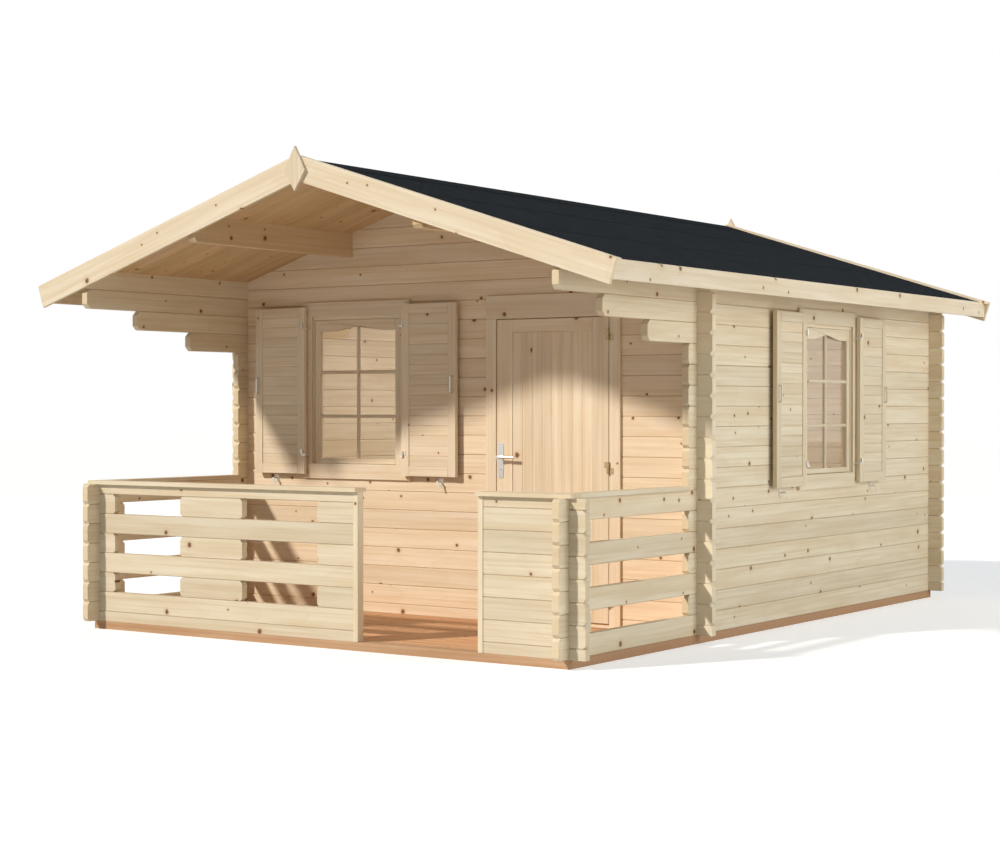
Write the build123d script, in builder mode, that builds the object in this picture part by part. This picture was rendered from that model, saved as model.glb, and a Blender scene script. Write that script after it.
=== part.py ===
"""Garden house: a log cabin with a covered terrace under one gable roof.

Interlocking logs stand on a ring of base beams. Logs along X start with a half log, so they lie half a
course above the logs along Y, and each crosses the others in housings of half a log. The origin is on the
ground, midway between the two finials. X runs to the right along the front, Y to the back, Z up.
"""
from build123d import *
from math import cos, radians, sin, tan
import os

os.makedirs("parts", exist_ok=True)

# logs and footprint
log_height = 114.0
log_thickness = 40.0
log_end = 95.0
log_end_cut = 17.0
joint_depth = 4.0
wall_width = 3300.0
cabin_depth = 3300.0
terrace_depth = 1300.0
base_height = 48.0
base_width = 70.0

# courses, counted from the top of the base beams
rail_courses = 7
sill_course = 7
window_courses = 9
corbel_course = 14
full_courses = 17
top_log_height = 95.0

# corbels at the front of the side walls, measured back from the face of the front rail
corbel_low_end = 765.0
corbel_high_end = 313.0
corbel_cut = 26.0

# roof
roof_pitch = 17.65
front_overhang = 100.0
rear_overhang = 185.0
roof_half_width = 1957.0
board_thickness = 19.0
felt_thickness = 4.0
purlin_width = 58.0
purlin_height = 148.0
purlin_offset = 785.0
purlin_cut = 16.0
barge_depth = 118.0
barge_thickness = 20.0
barge_past_fascia = 31.0
strip_thickness = 14.0
strip_width = 52.0
fascia_thickness = 20.0
fascia_height = 96.0
finial_height = 240.0
finial_width = 145.0
finial_thickness = 18.0
finial_above_ridge = 60.0
finial_belly = 108.0
mitre_gap = 1.0

# floors
deck_thickness = 20.0
deck_drop = 4.0
floor_thickness = 18.0
floor_gap = 5.0
joist_width = 45.0
deck_joists = 3
floor_joists = 5

# terrace rails
front_stub = 168.0
side_stub = 205.0
block_start = -966.0
block_end = -498.0
end_block = 252.0
post_thickness = 30.0
post_proud = 4.0
cap_width = 96.0
cap_thickness = 22.0
cap_gap = 1.0
entrance_width = 779.0

# openings in the walls
door_place = 0.432
door_leaf_width = 762.0
door_leaf_top = 1757.0
door_leaf_thickness = 36.0
door_gap = 5.0
leaf_recess = 2.0
door_stile = 109.0
door_top_rail = 75.0
door_bottom_rail = 150.0
door_boards = 8
panel_recess = 4.0
board_groove = 3.0
jamb_thickness = 32.0
stop_width = 12.0
threshold_height = 25.0
window_place = -0.4376
sash_width = 668.0
sash_height = 886.0
sash_stile = 41.0
sash_bottom_rail = 31.0
sash_shoulder = 67.0
arch_rise = 26.0
arch_half_width = 205.0
sash_thickness = 34.0
sash_recess = 2.0
sash_gap = 2.0
sash_sill = 46.0
sash_bar = 21.0
bar_recess = 4.0
pane_height = 251.0
glass_thickness = 4.0
glass_lap = 8.0
glass_play = 1.0
window_frame = 32.0
window_frame_depth = 52.0
fit_gap = 1.0
trim_thickness = 17.0
trim_lap = 48.0
head_lap = 18.0
trim_margin = 10.0
head_margin = 21.0
door_trim_width = 71.5

# shutters
shutter_inner = 380.0
shutter_width = 400.0
shutter_meeting = 10.0
shutter_thickness = 28.0
shutter_stand_off = 22.0
shutter_height = 1034.0
shutter_drop = 20.0
shutter_stile = 56.0
shutter_rail = 59.5
shutter_boards = 15
shutter_recess = 5.0
shutter_hinge_inset = 125.0
handle_length = 110.0
handle_bar = 8.0
handle_stand_off = 22.0
handle_inset = 24.0
handle_rise = 33.0

# ironwork
pin_radius = 3.0
pin_play = 0.3
eye_radius = 5.5
eye_length = 26.0
hinge_plate = 3.0
plate_reach = 20.0
pin_offset = 8.0
pintle_bar = 4.0
pintle_reach = 30.0
pintle_height = 12.0
door_pin_radius = 4.0
door_eye_radius = 8.0
door_eye_length = 34.0
door_hinge_heights = (155.0, 907.0, 1659.0)
door_plate_reach = 30.0
lever_height = 958.0
lever_backset = 30.0
lever_length = 120.0
lever_radius = 8.0
lever_stand_off = 48.0
lever_shaft = 9.0
shaft_play = 0.5
back_plate_width = 36.0
back_plate_height = 204.0
back_plate_drop = 20.0
back_plate_thickness = 3.0
back_plate_corner = 6.0
holdback_inset = 262.0
holdback_gap = 8.0
holdback_width = 34.0
holdback_height = 46.0
holdback_thickness = 3.0
holdback_reach = 36.0
holdback_arm = 8.0
holdback_tongue = 44.0

# places worked out from the sizes above
half_log = log_height / 2
x_wall = wall_width / 2
door_center = door_place * x_wall
window_center = window_place * x_wall
x_inner = x_wall - log_thickness
y_rail = -(terrace_depth + cabin_depth + rear_overhang - front_overhang) / 2
y_front = y_rail + terrace_depth
y_back = y_front + cabin_depth
y_back_inner = y_back - log_thickness
z_logs = base_height
slope = tan(radians(roof_pitch))
slope_cos = cos(radians(roof_pitch))
slope_sin = sin(radians(roof_pitch))
eaves_height = full_courses * log_height + top_log_height
under_ridge = eaves_height + slope * x_wall
ridge_boards = under_ridge + board_thickness / slope_cos
ridge_felt = ridge_boards + felt_thickness / slope_cos
sill_height = sill_course * log_height
head_course = sill_course + window_courses
head_height = head_course * log_height
rail_height = rail_courses * log_height
y_roof_front = y_rail - front_overhang
y_roof_rear = y_back + rear_overhang
roof_length = y_roof_rear - y_roof_front
barge_end = roof_half_width + barge_past_fascia
window_half = sash_width / 2 + sash_gap + window_frame + fit_gap
door_half = door_leaf_width / 2 + door_gap + jamb_thickness + fit_gap
side_window_center = (y_front + y_back) / 2
entrance_left = door_center - entrance_width / 2
entrance_right = door_center + entrance_width / 2


def across(y):
    """Plane of a wall along X whose front face is at y: local x is X, local y is height above the base."""
    return Plane(origin=(0, y, z_logs), x_dir=(1, 0, 0), z_dir=(0, -1, 0))


def along(x):
    """Plane of a wall along Y whose right face is at x: local x is Y, local y is height above the base."""
    return Plane(origin=(x, 0, z_logs), x_dir=(0, 1, 0), z_dir=(1, 0, 0))


def log_outline(bottom, top, start, end, start_cut=log_end_cut, end_cut=log_end_cut):
    """Side view of one log, its two ends cut back at top and bottom where they stand free."""
    left = [(start, top - start_cut), (start, bottom + start_cut)] if start_cut else [(start, top)]
    left += [(start + start_cut, bottom)]
    right = [(end - end_cut, bottom)]
    right += [(end, bottom + end_cut), (end, top - end_cut)] if end_cut else [(end, top)]
    if end_cut:
        right += [(end - end_cut, top)]
    if start_cut:
        right += [(start + start_cut, top)]
    return left + right


def course(first_line, number):
    """Bottom and top of a whole log, counted up from the first joint line of its wall."""
    return first_line + number * log_height, first_line + (number + 1) * log_height


def joint_lines(first_line, bottom, top):
    """Heights of the joints between logs, from bottom to top, both included."""
    count = int((top - first_line) / log_height + 1)
    lines = [first_line + number * log_height for number in range(count)]
    return [line for line in lines if bottom <= line <= top]


def stack_logs(plane, outlines, lines, crossings):
    """One wall panel: its logs, the housings where other logs cross it, and the V joints on both faces."""
    starts = [min(point[0] for point in outline) for outline in outlines]
    ends = [max(point[0] for point in outline) for outline in outlines]
    with BuildPart() as stack:
        with BuildSketch(plane):
            for outline in outlines:
                Polygon(*outline, align=None)
            if crossings:
                with Locations(*[(place, line) for place in crossings for line in lines]):
                    Rectangle(log_thickness, half_log, mode=Mode.SUBTRACT)
        extrude(amount=-log_thickness)
        section = Plane(
            origin=plane.from_local_coords((min(starts), 0, 0)),
            x_dir=plane.z_dir,
            z_dir=-plane.x_dir,
        )
        with BuildSketch(section):
            with Locations(*[(depth, line) for depth in (0, -log_thickness) for line in lines]):
                RegularPolygon(joint_depth, 4, rotation=0)
        extrude(amount=min(starts) - max(ends), mode=Mode.SUBTRACT)
    return stack.part


def write(part, name):
    """Label a finished piece and write it to its own file."""
    part.label = name
    export_step(part, f"parts/{name}.step")


# Base frame: beams under every wall, with joists between them.
joist_height = base_height - deck_drop - deck_thickness
with BuildPart() as base_frame:
    with BuildSketch():
        with Locations((0, (y_rail + y_back) / 2)):
            Rectangle(wall_width, y_back - y_rail)
            Rectangle(wall_width - 2 * base_width, y_back - y_rail - 2 * base_width, mode=Mode.SUBTRACT)
        with Locations((0, y_front + base_width / 2)):
            Rectangle(wall_width, base_width)
    extrude(amount=base_height)
    deck_pitch = (wall_width - 2 * base_width) / (deck_joists + 1)
    with BuildSketch():
        with Locations((0, (y_rail + y_front + base_width) / 2)):
            with GridLocations(deck_pitch, 0, deck_joists, 1):
                Rectangle(joist_width, terrace_depth - base_width)
    extrude(amount=joist_height)
    floor_pitch = (wall_width - 2 * base_width) / (floor_joists + 1)
    with BuildSketch():
        with Locations((0, (y_front + y_back) / 2)):
            with GridLocations(floor_pitch, 0, floor_joists, 1):
                Rectangle(joist_width, cabin_depth - 2 * base_width)
    extrude(amount=base_height)
write(base_frame.part, "base_frame")

with BuildPart() as terrace_deck:
    with BuildSketch(Plane.XY.offset(joist_height)):
        with Locations((0, (y_rail + base_width + y_front) / 2)):
            Rectangle(wall_width - 2 * base_width, terrace_depth - base_width)
    extrude(amount=deck_thickness)
write(terrace_deck.part, "terrace_deck")

with BuildPart() as cabin_floor:
    with BuildSketch(Plane.XY.offset(base_height)):
        with Locations((0, (y_front + y_back) / 2)):
            Rectangle(
                wall_width - 2 * (log_thickness + floor_gap),
                cabin_depth - 2 * (log_thickness + floor_gap),
            )
    extrude(amount=floor_thickness)
write(cabin_floor.part, "cabin_floor")

# Walls along X. They start with a half log, and their joints lie half a course above those along Y.
x_log_end = x_wall + log_end
side_crossings = (-x_wall + log_thickness / 2, x_wall - log_thickness / 2)
x_sill = half_log + sill_height
x_head = half_log + head_height
door_left = door_center - door_half
door_right = door_center + door_half
window_left = window_center - window_half
window_right = window_center + window_half


def x_courses(first, last, start, end, start_cut=log_end_cut, end_cut=log_end_cut):
    """Logs along X from the first to the last whole course."""
    rows = range(first, last)
    return [log_outline(*course(half_log, row), start, end, start_cut, end_cut) for row in rows]


def x_panel(outlines, bottom, top, y, crossings):
    return stack_logs(across(y), outlines, joint_lines(half_log, bottom, top), crossings)


lowest = [log_outline(0, half_log, -x_log_end, door_left, 0, 0)]
lowest += x_courses(0, sill_course, -x_log_end, door_left, log_end_cut, 0)
write(x_panel(lowest, 0, x_sill, y_front, side_crossings[:1]), "front_wall_base")

beside = x_courses(sill_course, head_course, -x_log_end, window_left, log_end_cut, 0)
write(x_panel(beside, x_sill, x_head, y_front, side_crossings[:1]), "front_wall_left")

between = x_courses(sill_course, head_course, window_right, door_left, 0, 0)
write(x_panel(between, x_sill, x_head, y_front, ()), "front_wall_middle")

right_logs = [log_outline(0, half_log, door_right, x_log_end, 0, 0)]
right_logs += x_courses(0, head_course, door_right, x_log_end, 0, log_end_cut)
write(x_panel(right_logs, 0, x_head, y_front, side_crossings[1:]), "front_wall_right")

back_logs = [log_outline(0, half_log, -x_log_end, x_log_end, 0, 0)]
back_logs += x_courses(0, head_course, -x_log_end, x_log_end)
write(x_panel(back_logs, 0, x_head, y_back_inner, side_crossings), "back_wall")


def gable(y):
    """Gable above the door head: one course with free ends, then logs cut to the roof and the purlins."""
    head = x_courses(head_course, head_course + 1, -x_log_end, x_log_end)
    bottom = x_head + log_height
    upper = []
    while bottom < under_ridge:
        upper.append(log_outline(bottom, bottom + log_height, -x_wall, x_wall, 0, 0))
        bottom += log_height
    with BuildPart() as panel:
        add(stack_logs(across(y), head + upper, joint_lines(half_log, x_head, under_ridge), side_crossings))
        with BuildSketch(across(y)):
            roof_space = (0, under_ridge + slope * x_wall)
            Polygon(
                (0, under_ridge), (wall_width, under_ridge - slope * wall_width),
                (wall_width, roof_space[1]), (-wall_width, roof_space[1]),
                (-wall_width, under_ridge - slope * wall_width), align=None,
            )
        extrude(amount=-log_thickness, mode=Mode.SUBTRACT)
        with BuildSketch(across(y)):
            for side in (-1, 1):
                Polygon(*purlin_outline(side), align=None)
        extrude(amount=-log_thickness, mode=Mode.SUBTRACT)
    return panel.part


def purlin_outline(side):
    """End view of a purlin, its top planed to the slope of the roof."""
    inner = purlin_offset - purlin_width / 2
    outer = purlin_offset + purlin_width / 2
    top = under_ridge - slope * inner
    bottom = top - purlin_height
    outer_top = under_ridge - slope * outer
    return [(side * inner, bottom), (side * outer, bottom), (side * outer, outer_top), (side * inner, top)]


write(gable(y_front), "front_gable")
write(gable(y_back_inner), "back_gable")

# Walls along Y. They start with a whole log. Rail logs run on as the wall logs of the same course.
y_log_start = y_front - log_end
y_log_end = y_back + log_end
end_crossings = (y_front + log_thickness / 2, y_back - log_thickness / 2)
window_front = side_window_center - window_half
window_rear = side_window_center + window_half
rail_logs = range(0, rail_courses, 2)


def y_course(number, start, end, start_cut=log_end_cut, end_cut=log_end_cut):
    return log_outline(*course(0, number), start, end, start_cut, end_cut)


def y_panel(x, outlines, bottom, top, crossings):
    return stack_logs(along(x), outlines, joint_lines(0, bottom, top), crossings)


def wall_start_cut(number):
    return 0 if number in rail_logs else log_end_cut


x_right_face = x_wall
x_left_face = -x_inner
corbel_height = corbel_course * log_height

left_rows = [y_course(n, y_log_start, y_log_end, wall_start_cut(n)) for n in range(corbel_course)]
write(y_panel(x_left_face, left_rows, 0, corbel_height, end_crossings), "left_wall")

base_rows = [y_course(n, y_log_start, y_log_end, wall_start_cut(n)) for n in range(sill_course)]
write(y_panel(x_right_face, base_rows, 0, sill_height, end_crossings), "right_wall_base")

beside_window = range(sill_course, corbel_course)
front_rows = [y_course(n, y_log_start, window_front, log_end_cut, 0) for n in beside_window]
write(y_panel(x_right_face, front_rows, sill_height, corbel_height, end_crossings[:1]), "right_wall_front")

rear_rows = [y_course(n, window_rear, y_log_end, 0) for n in range(sill_course, head_course)]
write(y_panel(x_right_face, rear_rows, sill_height, head_height, end_crossings[1:]), "right_wall_rear")


def corbel_rows(end, end_cut):
    """The two corbel courses, the upper one reaching further out."""
    return [
        y_course(corbel_course, y_rail + corbel_low_end, end, corbel_cut, end_cut),
        y_course(corbel_course + 1, y_rail + corbel_high_end, end, corbel_cut, end_cut),
    ]


write(
    y_panel(x_left_face, corbel_rows(y_log_end, log_end_cut), corbel_height, head_height, end_crossings),
    "left_corbel_logs",
)
write(
    y_panel(x_right_face, corbel_rows(window_front, 0), corbel_height, head_height, end_crossings[:1]),
    "right_corbel_logs",
)


def top_logs(x, side):
    """The two longest logs of a side wall, the upper one planed to the slope of the roof."""
    rows = [y_course(n, y_rail - log_end, y_log_end, corbel_cut) for n in (full_courses - 1, full_courses)]
    with BuildPart() as logs:
        top = (full_courses + 1) * log_height
        add(y_panel(x, rows, head_height, top, end_crossings))
        with BuildSketch(across(y_rail - log_end)):
            Polygon(
                (side * x_wall, eaves_height), (side * x_inner, eaves_height + slope * log_thickness),
                (side * x_inner, eaves_height + log_height), (side * x_wall, eaves_height + log_height),
                align=None,
            )
        extrude(amount=-(y_log_end - y_rail + log_end), mode=Mode.SUBTRACT)
    return logs.part


write(top_logs(x_left_face, -1), "left_top_logs")
write(top_logs(x_right_face, 1), "right_top_logs")

# Side rails: every second log is a rail, with stubs between them at the front corner.
rail_start = y_rail - log_end
rail_crossing = (y_rail + log_thickness / 2,)


def side_rail(x):
    rails = [y_course(n, rail_start, y_log_start, log_end_cut, 0) for n in rail_logs]
    stubs = [y_course(n, rail_start, y_rail + side_stub) for n in range(1, rail_courses, 2)]
    return y_panel(x, rails + stubs, 0, rail_height, rail_crossing)


write(side_rail(x_left_face), "left_rail")
write(side_rail(x_right_face), "right_rail")

# Front rails: the left one is open like the side rails, with blocks in its gaps, the right one is closed.
post_left = entrance_left - post_thickness
post_right = entrance_right + post_thickness
rail_left = [log_outline(0, half_log, -x_log_end, post_left, 0, 0)]
rail_left += x_courses(0, rail_courses - 1, -x_log_end, post_left, log_end_cut, 0)[::2]
rail_left += [log_outline(rail_height - half_log, rail_height, -x_log_end, post_left, 0, 0)]
for number in range(1, rail_courses - 1, 2):
    rail_left.append(log_outline(*course(half_log, number), -x_log_end, -x_wall + front_stub))
    rail_left.append(log_outline(*course(half_log, number), block_start, block_end))
    rail_left.append(log_outline(*course(half_log, number), post_left - end_block, post_left, log_end_cut, 0))
write(x_panel(rail_left, 0, rail_height, y_rail, side_crossings[:1]), "front_rail_left")

rail_right = [log_outline(0, half_log, post_right, x_log_end, 0, 0)]
rail_right += x_courses(0, rail_courses - 1, post_right, x_log_end, 0, log_end_cut)
rail_right += [log_outline(rail_height - half_log, rail_height, post_right, x_log_end, 0, 0)]
write(x_panel(rail_right, 0, rail_height, y_rail, side_crossings[1:]), "front_rail_right")

with BuildPart() as rail_end_posts:
    with BuildSketch(Plane.XY.offset(z_logs)):
        for x in ((post_left + entrance_left) / 2, (post_right + entrance_right) / 2):
            with Locations((x, y_rail + log_thickness / 2)):
                Rectangle(post_thickness, log_thickness + 2 * post_proud)
    extrude(amount=rail_height)
write(rail_end_posts.part, "rail_end_posts")


with BuildPart() as rail_caps:
    overhang = (cap_width - log_thickness) / 2
    with BuildSketch(Plane.XY.offset(z_logs + rail_height)):
        for side, entrance in ((-1, entrance_left), (1, entrance_right)):
            outer = side * (x_wall + overhang)
            with Locations(((outer + entrance) / 2, y_rail + log_thickness / 2)):
                Rectangle(abs(outer - entrance), cap_width)
            start = y_rail + log_thickness + overhang + cap_gap
            with Locations((side * (x_wall - log_thickness / 2), (start + y_log_start) / 2)):
                Rectangle(cap_width, y_log_start - start)
    extrude(amount=cap_thickness)
write(rail_caps.part, "rail_caps")

# Roof: two purlins, boards, felt, and the boards that close its edges.
with BuildPart() as purlins:
    for side in (-1, 1):
        with BuildSketch(across(y_rail - log_end)):
            Polygon(*purlin_outline(side), align=None)
        extrude(amount=-(y_log_end - y_rail + log_end))
    bottoms = purlins.faces().filter_by(Axis.Z).sort_by(Axis.Z)[:2]
    chamfer(bottoms.edges().filter_by(Axis.X), purlin_cut)
write(purlins.part, "purlins")


def roof_layer(side, ridge, thickness, reach):
    """A flat layer of one roof slope, from the ridge down to the fascia."""
    rise = thickness / slope_cos
    with BuildPart() as layer:
        with BuildSketch(across(y_roof_front)):
            Polygon(
                (0, ridge), (side * reach, ridge - slope * reach),
                (side * reach, ridge + rise - slope * reach), (0, ridge + rise), align=None,
            )
        extrude(amount=-roof_length)
    return layer.part


fascia_inner = roof_half_width - fascia_thickness
for side, name in ((-1, "left"), (1, "right")):
    write(roof_layer(side, under_ridge, board_thickness, fascia_inner), f"roof_boards_{name}")
    write(roof_layer(side, ridge_boards, felt_thickness, fascia_inner), f"roof_felt_{name}")

with BuildPart() as eaves_fascias:
    for side in (-1, 1):
        with BuildSketch(across(y_roof_front)):
            top = ridge_felt - slope * roof_half_width
            Polygon(
                (side * roof_half_width, top), (side * fascia_inner, top + slope * fascia_thickness),
                (side * fascia_inner, top - fascia_height), (side * roof_half_width, top - fascia_height),
                align=None,
            )
        extrude(amount=-roof_length)
write(eaves_fascias.part, "eaves_fascias")


def gable_board(side, low, high):
    """Outline of a board that follows one gable edge, between two depths below the top of the felt."""
    foot = Vector(barge_end, ridge_felt - slope * barge_end)
    normal = Vector(slope_sin, slope_cos)
    start = mitre_gap / 2
    points = [
        Vector(start, ridge_felt + high / slope_cos - slope * start), foot + normal * high,
        foot + normal * low, Vector(start, ridge_felt + low / slope_cos - slope * start),
    ]
    return [(side * point.X, point.Y) for point in points]


with BuildPart() as bargeboards:
    for y in (y_roof_front - barge_thickness, y_roof_rear):
        with BuildSketch(across(y)):
            for side in (-1, 1):
                Polygon(*gable_board(side, -barge_depth, 0), align=None)
        extrude(amount=-barge_thickness)
write(bargeboards.part, "bargeboards")

with BuildPart() as cover_strips:
    for y in (y_roof_front - barge_thickness, y_roof_rear + barge_thickness - strip_width):
        with BuildSketch(across(y)):
            for side in (-1, 1):
                Polygon(*gable_board(side, 0, strip_thickness), align=None)
        extrude(amount=-strip_width)
write(cover_strips.part, "cover_strips")

with BuildPart() as finials:
    for y in (y_roof_front - barge_thickness - finial_thickness, y_roof_rear + barge_thickness):
        with BuildSketch(across(y)):
            tip = ridge_felt + finial_above_ridge
            middle = tip - finial_height + finial_belly
            Polygon(
                (0, tip), (finial_width / 2, middle), (0, tip - finial_height), (-finial_width / 2, middle),
                align=None,
            )
        extrude(amount=-finial_thickness)
write(finials.part, "finials")

# Door: frame with stop and trim, a boarded leaf that opens outwards, hinges, lever and back plates.
leaf_half = door_leaf_width / 2
clear_half = leaf_half + door_gap
clear_top = door_leaf_top + door_gap
leaf_front = trim_thickness - leaf_recess
leaf_back = leaf_front - door_leaf_thickness
leaf_bottom = threshold_height + door_gap
door_face = Plane(origin=(door_center, y_front, z_logs), x_dir=(1, 0, 0), z_dir=(0, -1, 0))


def ring(half_inner, top_inner, side_width, top_width):
    """Outline of a lining on three sides of the doorway, open at the foot."""
    half_outer = half_inner + side_width
    top_outer = top_inner + top_width
    return [
        (-half_outer, 0), (-half_outer, top_outer), (half_outer, top_outer), (half_outer, 0),
        (half_inner, 0), (half_inner, top_inner), (-half_inner, top_inner), (-half_inner, 0),
    ]


trim_top = x_head + head_lap
with BuildPart() as door_frame:
    with BuildSketch(door_face.offset(-log_thickness)):
        Polygon(*ring(clear_half, clear_top, jamb_thickness, jamb_thickness), align=None)
    extrude(amount=log_thickness)
    with BuildSketch(door_face.offset(-log_thickness)):
        Polygon(*ring(clear_half - stop_width, clear_top - stop_width, stop_width, stop_width), align=None)
    extrude(amount=log_thickness + leaf_back - door_gap)
    with BuildSketch(door_face):
        Polygon(*ring(clear_half, clear_top, door_trim_width, trim_top - clear_top), align=None)
    extrude(amount=trim_thickness)
    with BuildSketch(door_face.offset(-log_thickness)):
        with Locations((0, threshold_height / 2)):
            Rectangle(2 * clear_half, threshold_height)
    extrude(amount=log_thickness)
write(door_frame.part, "door_frame")

axis_x = door_center + leaf_half + door_gap / 2
axis_y = y_front - trim_thickness - door_eye_radius - pin_play
leaf_height = door_leaf_top - leaf_bottom
panel_width = door_leaf_width - 2 * door_stile
panel_bottom = leaf_bottom + door_bottom_rail
panel_top = door_leaf_top - door_top_rail
lever_x = -leaf_half + lever_backset
with BuildPart() as door_leaf:
    with BuildSketch(door_face.offset(leaf_back)):
        with Locations((0, (leaf_bottom + door_leaf_top) / 2)):
            Rectangle(door_leaf_width, leaf_height)
        with Locations((lever_x, lever_height)):
            Circle(lever_shaft + shaft_play, mode=Mode.SUBTRACT)
    extrude(amount=door_leaf_thickness)
    with BuildSketch(door_face.offset(leaf_front)):
        with Locations((0, (panel_bottom + panel_top) / 2)):
            Rectangle(panel_width, panel_top - panel_bottom)
    extrude(amount=-panel_recess, mode=Mode.SUBTRACT)
    board_pitch = panel_width / door_boards
    with BuildSketch(Plane.XY.offset(z_logs + panel_bottom)):
        with Locations((door_center, y_front - leaf_front + panel_recess)):
            with GridLocations(board_pitch, 0, door_boards - 1, 1):
                RegularPolygon(board_groove, 4)
    extrude(amount=panel_top - panel_bottom, mode=Mode.SUBTRACT)
write(door_leaf.part, "door_leaf")


with BuildPart() as door_fittings:
    for height in door_hinge_heights:
        with BuildSketch(Plane.XY.offset(z_logs + height + pin_play)):
            with Locations((axis_x, axis_y)):
                Circle(door_eye_radius)
            face = y_front - leaf_front
            plate_end = axis_x - door_plate_reach
            Polygon(
                (axis_x, axis_y), (axis_x, face), (plate_end, face), (plate_end, face - hinge_plate),
                (axis_x - door_eye_radius, face - hinge_plate), (axis_x - door_eye_radius, axis_y), align=None,
            )
            with Locations((axis_x, axis_y)):
                Circle(door_pin_radius + pin_play, mode=Mode.SUBTRACT)
        extrude(amount=door_eye_length)
    for depth in (leaf_front, leaf_back - back_plate_thickness):
        with BuildSketch(door_face.offset(depth)):
            with Locations((lever_x, lever_height - back_plate_drop)):
                RectangleRounded(back_plate_width, back_plate_height, back_plate_corner)
            with Locations((lever_x, lever_height)):
                Circle(lever_shaft + shaft_play, mode=Mode.SUBTRACT)
        extrude(amount=back_plate_thickness)
write(door_fittings.part, "door_fittings")

with BuildPart() as door_hinge_pins:
    for height in door_hinge_heights:
        with BuildSketch(Plane.XY.offset(z_logs + height - door_eye_length)):
            with Locations((axis_x, axis_y)):
                Circle(door_eye_radius)
            face = y_front - trim_thickness
            plate_end = axis_x + door_plate_reach
            Polygon(
                (axis_x + door_gap / 2, axis_y), (axis_x + door_gap / 2, face), (plate_end, face),
                (plate_end, face - hinge_plate), (axis_x + door_eye_radius, face - hinge_plate),
                (axis_x + door_eye_radius, axis_y), align=None,
            )
        extrude(amount=door_eye_length)
        with BuildSketch(Plane.XY.offset(z_logs + height)):
            with Locations((axis_x, axis_y)):
                Circle(door_pin_radius)
        extrude(amount=door_eye_length)
write(door_hinge_pins.part, "door_hinge_pins")

lever_reach = lever_stand_off - lever_radius
with BuildPart() as door_lever:
    with BuildSketch(door_face.offset(leaf_back - lever_stand_off)):
        with Locations((lever_x, lever_height)):
            Circle(lever_shaft)
    extrude(amount=door_leaf_thickness + 2 * lever_stand_off)
    for depth in (leaf_back - lever_reach, leaf_front + lever_reach):
        lever_end = Plane(
            origin=door_face.from_local_coords((lever_x, lever_height, depth)),
            x_dir=(0, 1, 0), z_dir=(1, 0, 0),
        )
        with BuildSketch(lever_end):
            Circle(lever_radius)
        extrude(amount=lever_length)
    grips = door_lever.faces().sort_by(Axis.X)[-2:]
    chamfer(grips.edges(), lever_radius / 3)
write(door_lever.part, "door_lever")

# Windows: frame, trim, sash and shutters are alike in the front wall and, half a course lower, in the right.
opening_height = window_courses * log_height
front_window = Plane(origin=(window_center, y_front, z_logs + x_sill), x_dir=(1, 0, 0), z_dir=(0, -1, 0))
side_window = Plane(
    origin=(x_wall, side_window_center, z_logs + sill_height), x_dir=(0, 1, 0), z_dir=(1, 0, 0)
)
windows = (front_window, side_window)
sash_half = sash_width / 2
light_half = sash_half + sash_gap
light_bottom = sash_sill - sash_gap
light_top = sash_sill + sash_height + sash_gap
sash_front = -sash_recess
sash_back = sash_front - sash_thickness
glass_front = sash_front - (sash_thickness - glass_thickness) / 2


def upright(half_width, bottom, top):
    """Corners of a rectangle about the middle of a window."""
    return [(-half_width, bottom), (half_width, bottom), (half_width, top), (-half_width, top)]


with BuildPart() as window_frames:
    for window in windows:
        with BuildSketch(window):
            Polygon(*upright(window_half - fit_gap, fit_gap, opening_height - fit_gap), align=None)
            Polygon(*upright(light_half, light_bottom, light_top), align=None, mode=Mode.SUBTRACT)
        extrude(amount=-window_frame_depth)
        with BuildSketch(window.offset(sash_back)):
            Polygon(*upright(light_half, light_bottom, light_top), align=None)
            Polygon(
                *upright(light_half - stop_width, light_bottom + stop_width, light_top - stop_width),
                align=None, mode=Mode.SUBTRACT,
            )
        extrude(amount=-(window_frame_depth + sash_back))
        with BuildSketch(window):
            Polygon(*upright(window_half + trim_lap, -trim_lap, opening_height + head_lap), align=None)
            Polygon(
                *upright(light_half + trim_margin, light_bottom, light_top + head_margin),
                align=None, mode=Mode.SUBTRACT,
            )
        extrude(amount=trim_thickness)
write(window_frames.part, "window_frames")

glass_half = sash_half - sash_stile
glass_bottom = sash_sill + sash_bottom_rail
glass_shoulder = sash_sill + sash_height - sash_shoulder
glass_top = glass_shoulder + arch_rise
with BuildPart() as window_sashes:
    for window in windows:
        with BuildSketch(window.offset(sash_back)):
            Polygon(*upright(sash_half, sash_sill, sash_sill + sash_height), align=None)
            with BuildLine():
                Polyline(
                    (-arch_half_width, glass_shoulder), (-glass_half, glass_shoulder),
                    (-glass_half, glass_bottom), (glass_half, glass_bottom),
                    (glass_half, glass_shoulder), (arch_half_width, glass_shoulder),
                )
                ThreePointArc(
                    (arch_half_width, glass_shoulder), (0, glass_top), (-arch_half_width, glass_shoulder)
                )
            make_face(mode=Mode.SUBTRACT)
        extrude(amount=sash_thickness)
        with BuildSketch(window.offset(sash_back + bar_recess)):
            with Locations((0, (glass_bottom + glass_top) / 2)):
                Rectangle(sash_bar, glass_top - glass_bottom + bar_recess)
            for bar in (1, 2):
                with Locations((0, glass_bottom + bar * pane_height + (bar - 0.5) * sash_bar)):
                    Rectangle(2 * glass_half + bar_recess, sash_bar)
        extrude(amount=sash_thickness - 2 * bar_recess)
        with BuildSketch(window.offset(glass_front - glass_thickness)):
            Polygon(
                *upright(
                    glass_half + glass_lap + glass_play,
                    glass_bottom - glass_lap - glass_play,
                    glass_top + glass_lap + glass_play,
                ),
                align=None,
            )
        extrude(amount=glass_thickness, mode=Mode.SUBTRACT)
write(window_sashes.part, "window_sashes")

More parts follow.
